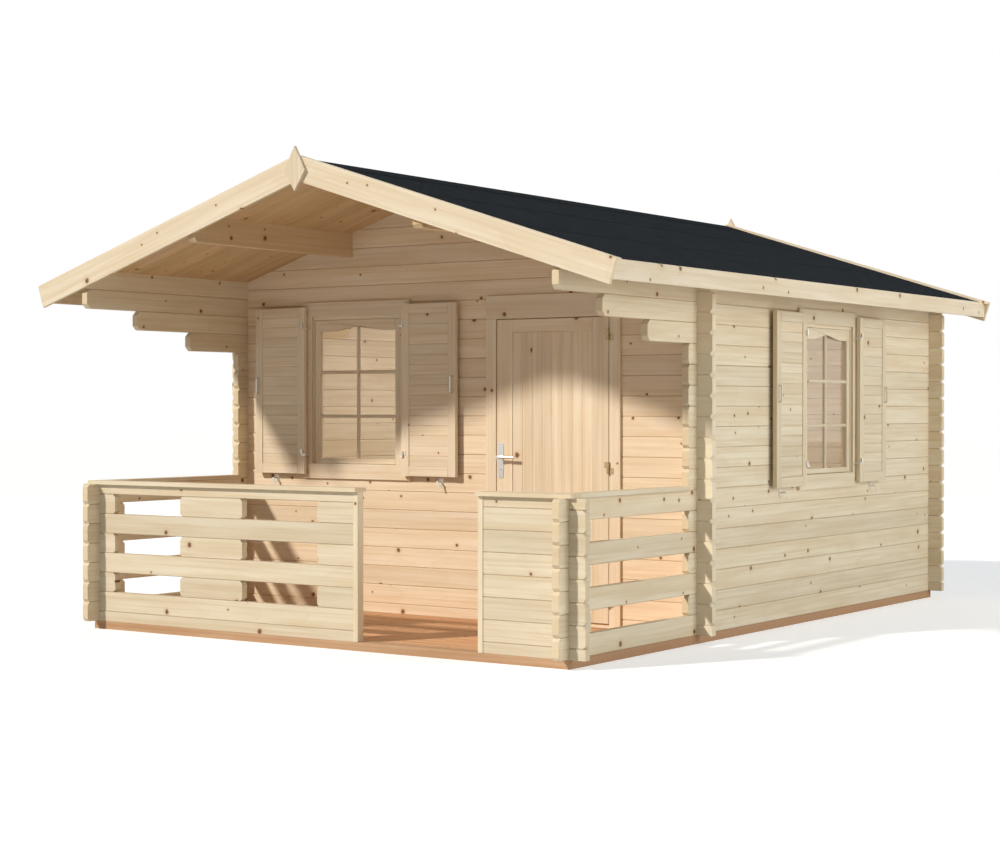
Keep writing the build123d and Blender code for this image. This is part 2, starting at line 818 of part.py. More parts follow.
with BuildPart() as window_glass:
    for window in windows:
        with BuildSketch(window.offset(glass_front - glass_thickness)):
            Polygon(
                *upright(glass_half + glass_lap, glass_bottom - glass_lap, glass_top + glass_lap),
                align=None,
            )
        extrude(amount=glass_thickness)
write(window_glass.part, "window_glass")

# Shutters: framed boards hung on pintles, free to swing from the wall until they meet over the window.
shutter_outer = shutter_inner + shutter_width
shutter_axis = (shutter_outer + shutter_meeting / 2) / 2
shutter_front = shutter_stand_off + shutter_thickness
pin_out = shutter_front + pin_offset
shutter_bottom = -shutter_drop
shutter_top = shutter_bottom + shutter_height
boards_bottom = shutter_bottom + shutter_rail
boards_height = shutter_height - 2 * shutter_rail
boards_pitch = boards_height / shutter_boards
boards_width = shutter_width - 2 * shutter_stile
hinge_levels = (shutter_bottom + shutter_hinge_inset, shutter_top - shutter_hinge_inset)
shutter_places = (
    (front_window, -1, "front_left"), (front_window, 1, "front_right"),
    (side_window, -1, "side_front"), (side_window, 1, "side_rear"),
)


def level(window, height):
    """Horizontal plane through a window: local x runs along the wall and local y into the house."""
    return Plane(origin=window.from_local_coords((0, height, 0)), x_dir=window.x_dir, z_dir=(0, 0, 1))


def shutter(window, side):
    """One shutter: stiles and rails with closely laid boards let in between them."""
    middle = side * (shutter_inner + shutter_width / 2)
    with BuildPart() as leaf:
        with BuildSketch(window.offset(shutter_stand_off)):
            with Locations((middle, shutter_bottom + shutter_height / 2)):
                Rectangle(shutter_width, shutter_height)
        extrude(amount=shutter_thickness)
        with BuildSketch(window.offset(shutter_front)):
            with Locations((middle, boards_bottom + boards_height / 2)):
                Rectangle(boards_width, boards_height)
        extrude(amount=-shutter_recess, mode=Mode.SUBTRACT)
        board_end = Plane(
            origin=window.from_local_coords((middle - boards_width / 2, 0, 0)),
            x_dir=window.z_dir, z_dir=-window.x_dir,
        )
        with BuildSketch(board_end):
            face = shutter_front - shutter_recess
            with Locations(*[
                (face, boards_bottom + number * boards_pitch) for number in range(1, shutter_boards)
            ]):
                RegularPolygon(board_groove, 4)
        extrude(amount=-boards_width, mode=Mode.SUBTRACT)
    return leaf.part


def shutter_fittings(window, side):
    """The two eyes of a shutter, each a barrel on a plate, and the bow handle on its outer stile."""
    with BuildPart() as fittings:
        for height in hinge_levels:
            with BuildSketch(level(window, height + pin_play)):
                with Locations((side * shutter_axis, -pin_out)):
                    Circle(eye_radius)
                Polygon(
                    (side * shutter_axis, -pin_out), (side * (shutter_axis + eye_radius), -pin_out),
                    (side * (shutter_axis + eye_radius), -shutter_front - hinge_plate),
                    (side * (shutter_axis + plate_reach), -shutter_front - hinge_plate),
                    (side * (shutter_axis + plate_reach), -shutter_front),
                    (side * shutter_axis, -shutter_front), align=None,
                )
                with Locations((side * shutter_axis, -pin_out)):
                    Circle(pin_radius + pin_play, mode=Mode.SUBTRACT)
            extrude(amount=eye_length)
        grip = side * (shutter_outer - handle_inset)
        middle = shutter_bottom + shutter_height / 2 + handle_rise
        with BuildSketch(Plane(
            origin=window.from_local_coords((grip - handle_bar / 2, middle, shutter_front)),
            x_dir=window.z_dir, z_dir=-window.x_dir,
        )):
            Polygon(
                (0, -handle_length / 2), (handle_stand_off, handle_bar - handle_length / 2),
                (handle_stand_off, handle_length / 2 - handle_bar), (0, handle_length / 2),
                (0, handle_length / 2 - handle_bar),
                (handle_stand_off - handle_bar, handle_length / 2 - 2 * handle_bar),
                (handle_stand_off - handle_bar, 2 * handle_bar - handle_length / 2),
                (0, handle_bar - handle_length / 2), align=None,
            )
        extrude(amount=-handle_bar)
    return fittings.part


for window, side, name in shutter_places:
    write(shutter(window, side), f"shutter_{name}")
    write(shutter_fittings(window, side), f"shutter_fittings_{name}")

with BuildPart() as shutter_pintles:
    for window, side, name in shutter_places:
        for height in hinge_levels:
            with BuildSketch(level(window, height - pintle_height)):
                foot = shutter_axis - pintle_reach
                Polygon(
                    (side * foot, -trim_thickness), (side * foot, -pin_out - pintle_bar / 2),
                    (side * (shutter_axis + pin_radius), -pin_out - pintle_bar / 2),
                    (side * (shutter_axis + pin_radius), -pin_out + pintle_bar / 2),
                    (side * (foot + pintle_bar), -pin_out + pintle_bar / 2),
                    (side * (foot + pintle_bar), -trim_thickness), align=None,
                )
            extrude(amount=pintle_height)
            with BuildSketch(level(window, height)):
                with Locations((side * shutter_axis, -pin_out)):
                    Circle(pin_radius)
            extrude(amount=eye_length)
write(shutter_pintles.part, "shutter_pintles")

with BuildPart() as shutter_holdbacks:
    for window, side, name in shutter_places:
        middle = side * (shutter_inner + holdback_inset)
        top = shutter_bottom - holdback_gap
        with BuildSketch(window):
            with Locations((middle, top - holdback_height / 2)):
                Rectangle(holdback_width, holdback_height)
        extrude(amount=holdback_thickness)
        with BuildSketch(window.offset(holdback_thickness)):
            with Locations((middle, top - holdback_height / 2)):
                Rectangle(holdback_arm, holdback_arm)
        extrude(amount=holdback_reach)
        with BuildSketch(window.offset(holdback_thickness + holdback_reach)):
            pivot = top - holdback_height / 2 + holdback_arm / 2
            Polygon(
                (middle - holdback_arm, pivot), (middle + holdback_arm, pivot),
                (middle + 2 * holdback_arm, pivot - holdback_tongue),
                (middle + holdback_arm, pivot - holdback_tongue), align=None,
            )
        extrude(amount=holdback_thickness)
write(shutter_holdbacks.part, "shutter_holdbacks")
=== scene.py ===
"""Garden house: the looks of a log cabin with a covered terrace, in metres, in the frame of the solids."""
import bpy
import bmesh
import json
import math
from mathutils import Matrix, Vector


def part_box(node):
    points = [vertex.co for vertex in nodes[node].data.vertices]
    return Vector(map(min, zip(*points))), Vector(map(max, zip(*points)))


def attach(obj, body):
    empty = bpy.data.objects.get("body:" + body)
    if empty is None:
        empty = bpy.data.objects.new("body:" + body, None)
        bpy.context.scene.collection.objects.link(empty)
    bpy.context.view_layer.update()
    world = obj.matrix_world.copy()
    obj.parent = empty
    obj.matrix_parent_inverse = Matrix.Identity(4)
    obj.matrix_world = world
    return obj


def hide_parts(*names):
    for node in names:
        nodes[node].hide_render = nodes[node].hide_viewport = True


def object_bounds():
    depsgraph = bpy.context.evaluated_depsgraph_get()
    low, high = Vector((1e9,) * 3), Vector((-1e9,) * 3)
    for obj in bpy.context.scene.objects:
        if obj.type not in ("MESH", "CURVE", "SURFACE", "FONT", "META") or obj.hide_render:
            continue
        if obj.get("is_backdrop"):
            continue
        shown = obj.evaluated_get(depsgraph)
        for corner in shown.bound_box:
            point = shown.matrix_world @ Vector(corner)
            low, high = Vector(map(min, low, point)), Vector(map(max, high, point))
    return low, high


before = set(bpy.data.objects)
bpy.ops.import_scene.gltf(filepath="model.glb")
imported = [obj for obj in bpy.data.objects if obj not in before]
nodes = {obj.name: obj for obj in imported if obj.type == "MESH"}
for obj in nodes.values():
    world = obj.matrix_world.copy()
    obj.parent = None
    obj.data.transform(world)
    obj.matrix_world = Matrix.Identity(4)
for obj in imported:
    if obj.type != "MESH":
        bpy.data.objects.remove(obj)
cad_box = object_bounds()

# Log walls and rails: planed spruce logs, one course 114 mm high, stacked and interlocked at the corners.
# Each log comes from a tree of its own, so its tone, its grain and its knots change at every joint line.
log_height = 0.114
base_top = 0.048


def math_node(tree, operation, *values):
    """One Math node; a value is a number or another node's socket."""
    node = tree.nodes.new("ShaderNodeMath")
    node.operation = operation
    for place, value in enumerate(values):
        if isinstance(value, (int, float)):
            node.inputs[place].default_value = value
        else:
            tree.links.new(value, node.inputs[place])
    return node.outputs[0]


def turned(tree, vector, angle):
    """The vector turned about Y, for boards that follow the roof."""
    node = tree.nodes.new("ShaderNodeVectorRotate")
    node.rotation_type = "Y_AXIS"
    node.inputs["Angle"].default_value = angle
    tree.links.new(vector, node.inputs["Vector"])
    return node.outputs[0]


def ramp(tree, factor, stops):
    """A colour ramp with (position, colour) stops."""
    node = tree.nodes.new("ShaderNodeValToRGB")
    while len(node.color_ramp.elements) < len(stops):
        node.color_ramp.elements.new(0.5)
    for element, (position, color) in zip(node.color_ramp.elements, stops):
        element.position = position
        element.color = (*color, 1)
    tree.links.new(factor, node.inputs["Fac"])
    return node.outputs["Color"]


def mixed(tree, factor, first, second, blend="MIX"):
    """A colour mix; factor, first and second are values, colours or sockets."""
    node = tree.nodes.new("ShaderNodeMix")
    node.data_type = "RGBA"
    node.blend_type = blend
    for name, value in (("Factor_Float", factor), ("A_Color", first), ("B_Color", second)):
        socket = next(item for item in node.inputs if item.identifier == name)
        if isinstance(value, (int, float)):
            socket.default_value = value
        elif isinstance(value, tuple):
            socket.default_value = (*value, 1)
        else:
            tree.links.new(value, socket)
    return next(item for item in node.outputs if item.identifier == "Result_Color")


def noise(tree, vector, scale, detail=2.0, rough=0.5):
    """A noise pattern on a vector."""
    node = tree.nodes.new("ShaderNodeTexNoise")
    node.inputs["Scale"].default_value = scale
    node.inputs["Detail"].default_value = detail
    node.inputs["Roughness"].default_value = rough
    tree.links.new(vector, node.inputs["Vector"])
    return node.outputs["Fac"]


def joined(tree, x, y, z):
    """A vector from three numbers or sockets."""
    node = tree.nodes.new("ShaderNodeCombineXYZ")
    for place, value in enumerate((x, y, z)):
        if isinstance(value, (int, float)):
            node.inputs[place].default_value = value
        else:
            tree.links.new(value, node.inputs[place])
    return node.outputs[0]


def new_material(name):
    """A material with its node tree and its shader."""
    material = bpy.data.materials.new(name)
    material.use_nodes = True
    return material, material.node_tree, material.node_tree.nodes["Principled BSDF"]


def bumped(tree, shader, height, strength, distance):
    """Lets a height show on the surface as fine relief."""
    bump = tree.nodes.new("ShaderNodeBump")
    bump.inputs["Strength"].default_value = strength
    bump.inputs["Distance"].default_value = distance
    tree.links.new(height, bump.inputs["Height"])
    tree.links.new(bump.outputs[0], shader.inputs["Normal"])


def spruce(name, along, across, pitch, phase, pale, mid, knots=0.26, angle=0.0, gloss=0.55, tone=0.12,
           bounce_reach=0.0):
    """Planed softwood with its grain along one axis: logs change at each pitch across it, boards by their
    own lot. Within the bounce reach from the middle of the house, the warmer tone is painted bounce light
    from the deck; past it the tone is made cooler."""
    log_shift = 37.0
    heart_drift = 0.09
    rings_per_metre = 230.0
    knots_per_metre = 6.5
    end_facing = 0.9
    top_facing = 0.8
    seam_half_width = 0.0016
    black, white = (0, 0, 0), (1, 1, 1)
    material, tree, shader = new_material(name)

    def plus(first, second):
        return math_node(tree, "ADD", first, second)

    def minus(first, second):
        return math_node(tree, "SUBTRACT", first, second)

    def times(first, second):
        return math_node(tree, "MULTIPLY", first, second)

    def beyond(value, limit):
        return math_node(tree, "GREATER_THAN", math_node(tree, "ABSOLUTE", value), limit)

    def darker(red, green, blue):
        return mid[0] * red, mid[1] * green, mid[2] * blue

    coordinates = tree.nodes.new("ShaderNodeTexCoord")
    place = coordinates.outputs["Object"]
    if angle:
        place = turned(tree, place, angle)
    parts = tree.nodes.new("ShaderNodeSeparateXYZ")
    tree.links.new(place, parts.inputs[0])
    length = parts.outputs[along]
    width = parts.outputs[across]
    third = parts.outputs[({"X", "Y", "Z"} - {along, across}).pop()]
    if pitch:
        course = math_node(tree, "DIVIDE", minus(width, phase), pitch)
        number = math_node(tree, "FLOOR", course)
        within = times(minus(math_node(tree, "FRACT", course), 0.5), pitch)
    else:
        lot = tree.nodes.new("ShaderNodeAttribute")
        lot.attribute_name = "lot"
        number = lot.outputs["Fac"]
        within = plus(width, times(number, 0.31))
    pick = tree.nodes.new("ShaderNodeTexWhiteNoise")
    pick.noise_dimensions = "1D"
    tree.links.new(number, pick.inputs["W"])
    shift = times(pick.outputs["Value"], log_shift)
    run = plus(length, shift)
    log_place = joined(tree, run, within, third)

    # the tree's rings, cut lengthwise: a slow wander of the heart makes the long flames on the faces
    wander = noise(tree, joined(tree, times(run, 0.28), times(within, 1.5), shift), 1.0, 1.0)
    heart = times(minus(wander, 0.5), heart_drift)
    reach = tree.nodes.new("ShaderNodeVectorMath")
    reach.operation = "LENGTH"
    tree.links.new(joined(tree, 0.0, plus(within, heart), plus(third, heart)), reach.inputs[0])
    ring = plus(times(reach.outputs["Value"], rings_per_metre), noise(tree, log_place, 5.0))
    late = math_node(tree, "POWER", math_node(tree, "FRACT", ring), 3.0)

    # long soft stains, late wood, streaks and fine fibres, and the tone of each log
    fibres = joined(tree, times(length, 3.0), times(width, 160.0), times(third, 160.0))
    fibres = noise(tree, fibres, 1.0, 3.0, 0.6)
    stains = joined(tree, plus(times(length, 1.3), shift), times(within, 14.0), third)
    stains = noise(tree, stains, 1.0, 2.0)
    streaks = joined(tree, times(run, 1.1), times(within, 62.0), times(third, 62.0))
    streaks = ramp(tree, noise(tree, streaks, 1.0, 3.0, 0.6), ((0.46, black), (0.66, (0.5, 0.5, 0.5))))
    body = ramp(tree, stains, ((0.32, mid), (0.62, pale)))
    body = mixed(tree, times(late, 0.14), body, darker(0.84, 0.72, 0.56))
    body = mixed(tree, streaks, body, darker(0.88, 0.80, 0.68))
    body = mixed(tree, times(fibres, 0.20), body, darker(0.90, 0.82, 0.70))
    shade = plus(times(pick.outputs["Value"], tone), 1.0 - tone * 0.7)
    body = mixed(tree, 1.0, body, ramp(tree, shade, ((0.0, black), (1.0, white))), "MULTIPLY")

    # sawn ends show their rings darker than the planed faces do
    way = tree.nodes.new("ShaderNodeSeparateXYZ")
    tree.links.new(coordinates.outputs["Normal"], way.inputs[0])
    ends = mixed(tree, late, darker(0.98, 0.94, 0.88), darker(0.82, 0.70, 0.54))
    body = mixed(tree, times(beyond(way.outputs[along], end_facing), 0.6), body, ends)
    if pitch:
        # the line where two logs meet lies in the shade at the foot of the V
        edge = beyond(within, pitch / 2 - seam_half_width)
        seam = times(edge, minus(1.0, beyond(way.outputs["Z"], top_facing)))
        body = mixed(tree, times(seam, stains), body, darker(0.42, 0.32, 0.24))
    # painted bounce light: inside the porch the wood keeps a warmer tone that stands in for light thrown up
    # from the deck, and past it the colour turns cooler
    if bounce_reach:
        past_bounce_light = beyond(parts.outputs["X"], bounce_reach)
        body = mixed(tree, past_bounce_light, body, mixed(tree, 1.0, body, (0.965, 1.0, 1.0), "MULTIPLY"))
        body = mixed(tree, times(past_bounce_light, 0.6), body, (0.770, 0.690, 0.520))

    # knots: a dark heart, a brown ring, and a soft halo in the grain round them
    spots = tree.nodes.new("ShaderNodeTexVoronoi")
    spots.voronoi_dimensions = "2D"
    spots.inputs["Scale"].default_value = knots_per_metre
    spots.inputs["Randomness"].default_value = 0.9
    tree.links.new(joined(tree, run, plus(within, times(number, 1.73)), 0.0), spots.inputs["Vector"])
    here = tree.nodes.new("ShaderNodeSeparateColor")
    tree.links.new(spots.outputs["Color"], here.inputs[0])
    chosen = math_node(tree, "LESS_THAN", here.outputs["Red"], knots)
    size = plus(times(math_node(tree, "POWER", here.outputs["Green"], 2.0), 0.085), 0.045)
    local = math_node(tree, "DIVIDE", spots.outputs["Distance"], size)
    ragged = plus(local, times(minus(noise(tree, log_place, 90.0, 2.0), 0.5), 0.7))
    strength = times(chosen, ramp(tree, ragged, ((0.0, white), (0.75, (0.9, 0.9, 0.9)), (1.0, black))))
    halo = times(chosen, ramp(tree, times(local, 0.4), ((0.3, (0.30, 0.30, 0.30)), (1.0, black))))
    knot = ramp(tree, ragged, (
        (0.0, darker(0.16, 0.09, 0.06)), (0.55, darker(0.26, 0.16, 0.10)), (1.0, darker(0.60, 0.42, 0.26)),
    ))
    body = mixed(tree, halo, body, darker(0.82, 0.62, 0.42))
    body = mixed(tree, strength, body, knot)
    tree.links.new(body, shader.inputs["Base Color"])

    height = minus(plus(times(fibres, 0.8), times(late, 0.4)), times(strength, 0.8))
    bumped(tree, shader, height, 0.25, 0.0015)
    tree.links.new(plus(times(fibres, 0.16), gloss), shader.inputs["Roughness"])
    shader.inputs["Specular IOR Level"].default_value = 0.35
    return material


def dress(material, *names):
    """Gives CAD nodes their material."""
    for name in names:
        node = nodes[name]
        node.data.materials.clear()
        node.data.materials.append(material)


log_pale, log_mid = (0.815, 0.725, 0.545), (0.735, 0.615, 0.425)
# warmer, paler logs for the front wall and gable: painted warm bounce light of the porch
porch_bounce_pale, porch_bounce_mid = (0.895, 0.755, 0.570), (0.820, 0.655, 0.455)
# a darker copy of the log colours for the front rails: painted shade that tones down the full sun on them
rail_shaded_pale, rail_shaded_mid = (0.760, 0.675, 0.515), (0.680, 0.575, 0.405)
porch_reach = 1.63
half_course = base_top + log_height / 2
log_along_x = spruce("log_along_x", "X", "Z", log_height, half_course, log_pale, log_mid)
log_along_y = spruce("log_along_y", "Y", "Z", log_height, base_top, log_pale, log_mid)
porch_bounce_log = spruce(
    "porch_bounce_log", "X", "Z", log_height, half_course, porch_bounce_pale, porch_bounce_mid, bounce_reach=porch_reach,
)
shaded_rail_log = spruce("shaded_rail_log", "X", "Z", log_height, half_course, rail_shaded_pale, rail_shaded_mid, knots=0.2)
dress(
    porch_bounce_log, "front_wall_base", "front_wall_left", "front_wall_middle", "front_wall_right",
    "front_gable",
)
dress(log_along_x, "back_wall", "back_gable")
dress(shaded_rail_log, "front_rail_left", "front_rail_right")
dress(
    log_along_y, "left_wall", "right_wall_base", "right_wall_front", "right_wall_rear", "left_corbel_logs",
    "right_corbel_logs", "left_top_logs", "right_top_logs", "left_rail", "right_rail",
)

# Purlins: two planed spruce beams that run through both gables and carry the roof boards. Each lies in a
# housing in the gable logs, and its ends are cut off at the lower corners.
# the purlins' deep orange tone is painted bounce light, standing in for warm light thrown up from the deck
# under the roof
purlin_bounce_wood = spruce("purlin_bounce_wood", "Y", "Z", 0, 0, (0.74, 0.57, 0.36), (0.66, 0.48, 0.28), knots=0.2)
dress(purlin_bounce_wood, "purlins")

# Base beams and joists: sawn softwood, impregnated and stained a warm red brown against the damp ground.
# They lie flat on the ground, screwed together, and carry the first logs and both floors.
base_pale, base_mid = (0.57, 0.37, 0.22), (0.47, 0.275, 0.15)
base_wood = spruce("base_wood", "X", "Z", 0, 0, base_pale, base_mid, knots=0.15, gloss=0.7)
dress(base_wood, "base_frame")

# Terrace deck: stained softwood boards with rounded edges, laid from side to side on the joists, with narrow
# gaps between them for the rain. Each board is cut from another lot.
deck_low, deck_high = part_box("terrace_deck")
deck_board_width = 0.0846
deck_gap = 0.005
deck_ease = 0.003


def new_tree(name, sizes):
    """A Geometry Nodes tree with named inputs, given as (name, kind), and its two ends."""
    tree = bpy.data.node_groups.new(name, "GeometryNodeTree")
    for label, kind in (("Geometry", "Geometry"), *sizes, ("Material", "Material")):
        tree.interface.new_socket(label, in_out="INPUT", socket_type="NodeSocket" + kind)
    tree.interface.new_socket("Geometry", in_out="OUTPUT", socket_type="NodeSocketGeometry")
    return tree, tree.nodes.new("NodeGroupInput").outputs, tree.nodes.new("NodeGroupOutput").inputs


def step(tree, kind, feeds, **settings):
    """One node of a tree; feeds gives each input's name with its value or the socket that feeds it."""
    node = tree.nodes.new(kind)
    for setting, value in settings.items():
        setattr(node, setting, value)
    for name, value in feeds.items():
        socket = next(item for item in node.inputs if item.name == name and item.enabled)
        if isinstance(value, bpy.types.NodeSocket):
            tree.links.new(value, socket)
        else:
            socket.default_value = value
    return next(item for item in node.outputs if item.enabled)


def put_in(name, data):
    """A new object in the scene."""
    thing = bpy.data.objects.new(name, data)
    bpy.context.scene.collection.objects.link(thing)
    return thing


def grown(name, tree, values, material, body, places=()):
    """Runs a tree on its (point, facing) places and keeps the result as a plain mesh on a body."""
    seeds = bpy.data.meshes.new(name + "_places")
    seeds.from_pydata([tuple(point) for point, facing in places], [], [])
    ways = seeds.attributes.new("facing", "FLOAT_VECTOR", "POINT")
    for way, (point, facing) in zip(ways.data, places):
        way.vector = facing
    piece = put_in(name, seeds)
    growth = piece.modifiers.new(name, "NODES")
    growth.node_group = tree
    values = {**values, "Material": material}
    for item in tree.interface.items_tree:
        if item.in_out == "INPUT" and item.name in values:
            growth[item.identifier] = values[item.name]
    shape = bpy.data.meshes.new_from_object(piece.evaluated_get(bpy.context.evaluated_depsgraph_get()))
    piece.modifiers.clear()
    piece.data = shape
    shape.name = name
    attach(piece, body)
    return piece


row_tree, row_in, row_out = new_tree("row_of_boards", (
    ("Start", "Vector"), ("End", "Vector"), ("Width", "Float"), ("Height", "Float"), ("Ease", "Float"),
    ("Count", "Int"), ("Step", "Vector"), ("Seed", "Int"),
))
heart_line = step(row_tree, "GeometryNodeCurvePrimitiveLine", {
    "Start": row_in["Start"], "End": row_in["End"]})
section = step(row_tree, "GeometryNodeCurvePrimitiveQuadrilateral", {
    "Width": row_in["Width"], "Height": row_in["Height"]})
section = step(row_tree, "GeometryNodeFilletCurve", {
    "Curve": section, "Radius": row_in["Ease"]}, mode="POLY")
one_board = step(row_tree, "GeometryNodeCurveToMesh", {
    "Curve": heart_line, "Profile Curve": section, "Fill Caps": True})
row_line = step(row_tree, "GeometryNodeMeshLine", {
    "Count": row_in["Count"], "Start Location": (0, 0, 0), "Offset": row_in["Step"]})
row = step(row_tree, "GeometryNodeInstanceOnPoints", {"Points": row_line, "Instance": one_board})
row = step(row_tree, "GeometryNodeSetShadeSmooth", {"Geometry": row, "Shade Smooth": False})
row = step(row_tree, "GeometryNodeRealizeInstances", {"Geometry": row})
board_number = row_tree.nodes.new("GeometryNodeInputMeshIsland").outputs["Island Index"]
board_lot = step(row_tree, "FunctionNodeRandomValue", {
    "Min": 0.0, "Max": 5.0, "ID": board_number, "Seed": row_in["Seed"]}, data_type="FLOAT")
row = step(row_tree, "GeometryNodeStoreNamedAttribute", {
    "Geometry": row, "Name": "lot", "Value": board_lot}, data_type="FLOAT", domain="FACE")
row = step(row_tree, "GeometryNodeSetMaterial", {"Geometry": row, "Material": row_in["Material"]})
row_tree.links.new(row, row_out["Geometry"])

deck_pale, deck_mid = (0.790, 0.465, 0.255), (0.670, 0.355, 0.180)
deck_wood = spruce("deck_wood", "X", "Y", 0, 0, deck_pale, deck_mid, knots=0.15, gloss=0.5, tone=0.22)
deck_count = round((deck_high[1] - deck_low[1] + deck_gap) / (deck_board_width + deck_gap))
deck_pitch = (deck_high[1] - deck_low[1] + deck_gap) / deck_count
deck_level = (deck_low[2] + deck_high[2]) / 2
first_deck_board = deck_low[1] + (deck_pitch - deck_gap) / 2
deck = grown("deck_boards", row_tree, {
    "Start": (deck_low[0], first_deck_board, deck_level),
    "End": (deck_high[0], first_deck_board, deck_level),
    "Width": deck_pitch - deck_gap, "Height": deck_high[2] - deck_low[2], "Ease": deck_ease,
    "Count": deck_count, "Step": (0.0, deck_pitch, 0.0), "Seed": 11,
}, deck_wood, "house")
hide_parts("terrace_deck")

# Deck screws: stainless countersunk screws, two through each board into every joist. Their heads are left a
# little proud, with a square drive, and each stopped at a turn of its own.
screw_tree, screw_in, screw_out = new_tree("driven_heads", (
    ("Radius", "Float"), ("Depth", "Float"), ("Sides", "Int"), ("Drive", "Float"), ("Seed", "Int"),
))
head = step(screw_tree, "GeometryNodeMeshCylinder", {
    "Vertices": screw_in["Sides"], "Radius": screw_in["Radius"], "Depth": screw_in["Depth"]})
drive_depth = step(screw_tree, "ShaderNodeMath", {"Value": screw_in["Depth"]}, operation="MULTIPLY")
drive_height = 1.1
drive_depth.node.inputs[1].default_value = drive_height
drive = step(screw_tree, "GeometryNodeMeshCylinder", {
    "Vertices": 4, "Radius": screw_in["Drive"], "Depth": drive_depth})
drive = step(screw_tree, "GeometryNodeStoreNamedAttribute", {
    "Geometry": drive, "Name": "drive", "Value": 1.0}, data_type="FLOAT", domain="FACE")
screw = screw_tree.nodes.new("GeometryNodeJoinGeometry")
for part in (drive, head):
    screw_tree.links.new(part, screw.inputs[0])
facing = step(screw_tree, "GeometryNodeInputNamedAttribute", {"Name": "facing"}, data_type="FLOAT_VECTOR")
upright_turn = step(screw_tree, "FunctionNodeAlignRotationToVector", {"Vector": facing}, axis="Z")
full_turn = 6.28
spin = step(screw_tree, "FunctionNodeRandomValue", {
    "Min": 0.0, "Max": full_turn, "Seed": screw_in["Seed"]}, data_type="FLOAT")
spin = step(screw_tree, "FunctionNodeAxisAngleToRotation", {"Axis": (0, 0, 1), "Angle": spin})
turn = step(screw_tree, "FunctionNodeRotateRotation", {
    "Rotation": upright_turn, "Rotate By": spin}, rotation_space="LOCAL")
screws = step(screw_tree, "GeometryNodeInstanceOnPoints", {
    "Points": screw_in["Geometry"], "Instance": screw.outputs[0], "Rotation": turn})
screws = step(screw_tree, "GeometryNodeSetShadeSmooth", {"Geometry": screws, "Shade Smooth": False})
screws = step(screw_tree, "GeometryNodeRealizeInstances", {"Geometry": screws})
screws = step(screw_tree, "GeometryNodeSetMaterial", {"Geometry": screws, "Material": screw_in["Material"]})
screw_tree.links.new(screws, screw_out["Geometry"])


def metal(name, color, rough, streaks):
    """Metal with a fine brushed or plated surface; a screw's drive is painted near black as painted shade
    for its hollow.
    """
    material, tree, shader = new_material(name)
    place = tree.nodes.new("ShaderNodeTexCoord").outputs["Object"]
    spread = noise(tree, place, 60.0, 3.0, 0.6)
    fine = noise(tree, place, streaks, 2.0, 0.5)
    dull = tuple(channel * 0.78 for channel in color)
    drive_shade_mark = tree.nodes.new("ShaderNodeAttribute")
    drive_shade_mark.attribute_name = "drive"
    surface = mixed(tree, spread, dull, color)
    # painted shade: the drive's square is near black, standing in for the shade inside its hollow
    surface = mixed(tree, drive_shade_mark.outputs["Fac"], surface, (0.03, 0.03, 0.03))
    tree.links.new(surface, shader.inputs["Base Color"])
    dulled = math_node(tree, "ADD", math_node(tree, "MULTIPLY", fine, 0.25), rough)
    tree.links.new(dulled, shader.inputs["Roughness"])
    shader.inputs["Metallic"].default_value = 1.0
    return material


def driven(name, places, body, material, radius, drive, seed, depth=0.0012):
    """Heads of screws or nails at (point, facing) places; a nail has no drive."""
    return grown(name, screw_tree, {
        "Radius": radius, "Depth": depth, "Sides": 10, "Drive": drive, "Seed": seed,
    }, material, body, places)


screw_steel = metal("screw_steel", (0.58, 0.56, 0.53), 0.30, 900.0)
joists = (-1.562, -0.79, 0.0, 0.79, 1.562)
deck_screw_shift = 0.025
deck_head, deck_drive = 0.0042, 0.0018
upwards = (0, 0, 1)
deck_screws = []
for number in range(deck_count):
    middle = first_deck_board + number * deck_pitch
    for joist in joists:
        for shift in (-deck_screw_shift, deck_screw_shift):
            deck_screws.append(((joist, middle + shift, deck_high[2]), upwards))
driven("deck_screws", deck_screws, "house", screw_steel, deck_head, deck_drive, 21)

# Cabin floor: planed spruce boards, tongued and grooved, laid tight from the front to the back of the room
# and nailed to the joists through their tongues, so that no nail shows.
floor_low, floor_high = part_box("cabin_floor")
floor_count = 36
floor_pitch = (floor_high[0] - floor_low[0]) / floor_count
floor_gap = 0.0005
floor_ease = 0.002
floor_wood = spruce("floor_wood", "Y", "X", 0, 0, log_pale, log_mid, knots=0.35)
floor_level = (floor_low[2] + floor_high[2]) / 2
first_floor_board = floor_low[0] + floor_pitch / 2
floor = grown("floor_boards", row_tree, {
    "Start": (first_floor_board, floor_low[1], floor_level),
    "End": (first_floor_board, floor_high[1], floor_level),
    "Width": floor_pitch - floor_gap, "Height": floor_high[2] - floor_low[2], "Ease": floor_ease,
    "Count": floor_count, "Step": (floor_pitch, 0.0, 0.0), "Seed": 12,
}, floor_wood, "house")
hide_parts("cabin_floor")

# Roof boards: tongued and grooved spruce boards from ridge to eaves, nailed to the purlins and the side
# walls, with a V at each joint that shows from below. Their ends meet at the ridge.
ridge_low, ridge_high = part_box("roof_boards_right")
roof_pitch = math.radians(17.65)
roof_board_count = 51
roof_board_pitch = (ridge_high[1] - ridge_low[1]) / roof_board_count
roof_board_gap = 0.0004
roof_board_ease = 0.003
board_thickness = 0.019
ridge_gap, fascia_gap = 0.0008, 0.006
# the roof boards' orange tone, seen from below, is painted bounce light from the deck and walls
roof_bounce_pale, roof_bounce_mid = (0.690, 0.500, 0.290), (0.600, 0.400, 0.205)
ridge_under = ridge_high[2] - board_thickness / math.cos(roof_pitch)


def on_slope(side, ridge_height):
    """Maps (distance down the slope, Y, height over it) to the roof on one side of the ridge."""
    def place(point):
        return Vector((
            side * (point.x * math.cos(roof_pitch) + point.z * math.sin(roof_pitch)),
            point.y,
            ridge_height - point.x * math.sin(roof_pitch) + point.z * math.cos(roof_pitch),
        ))
    return place


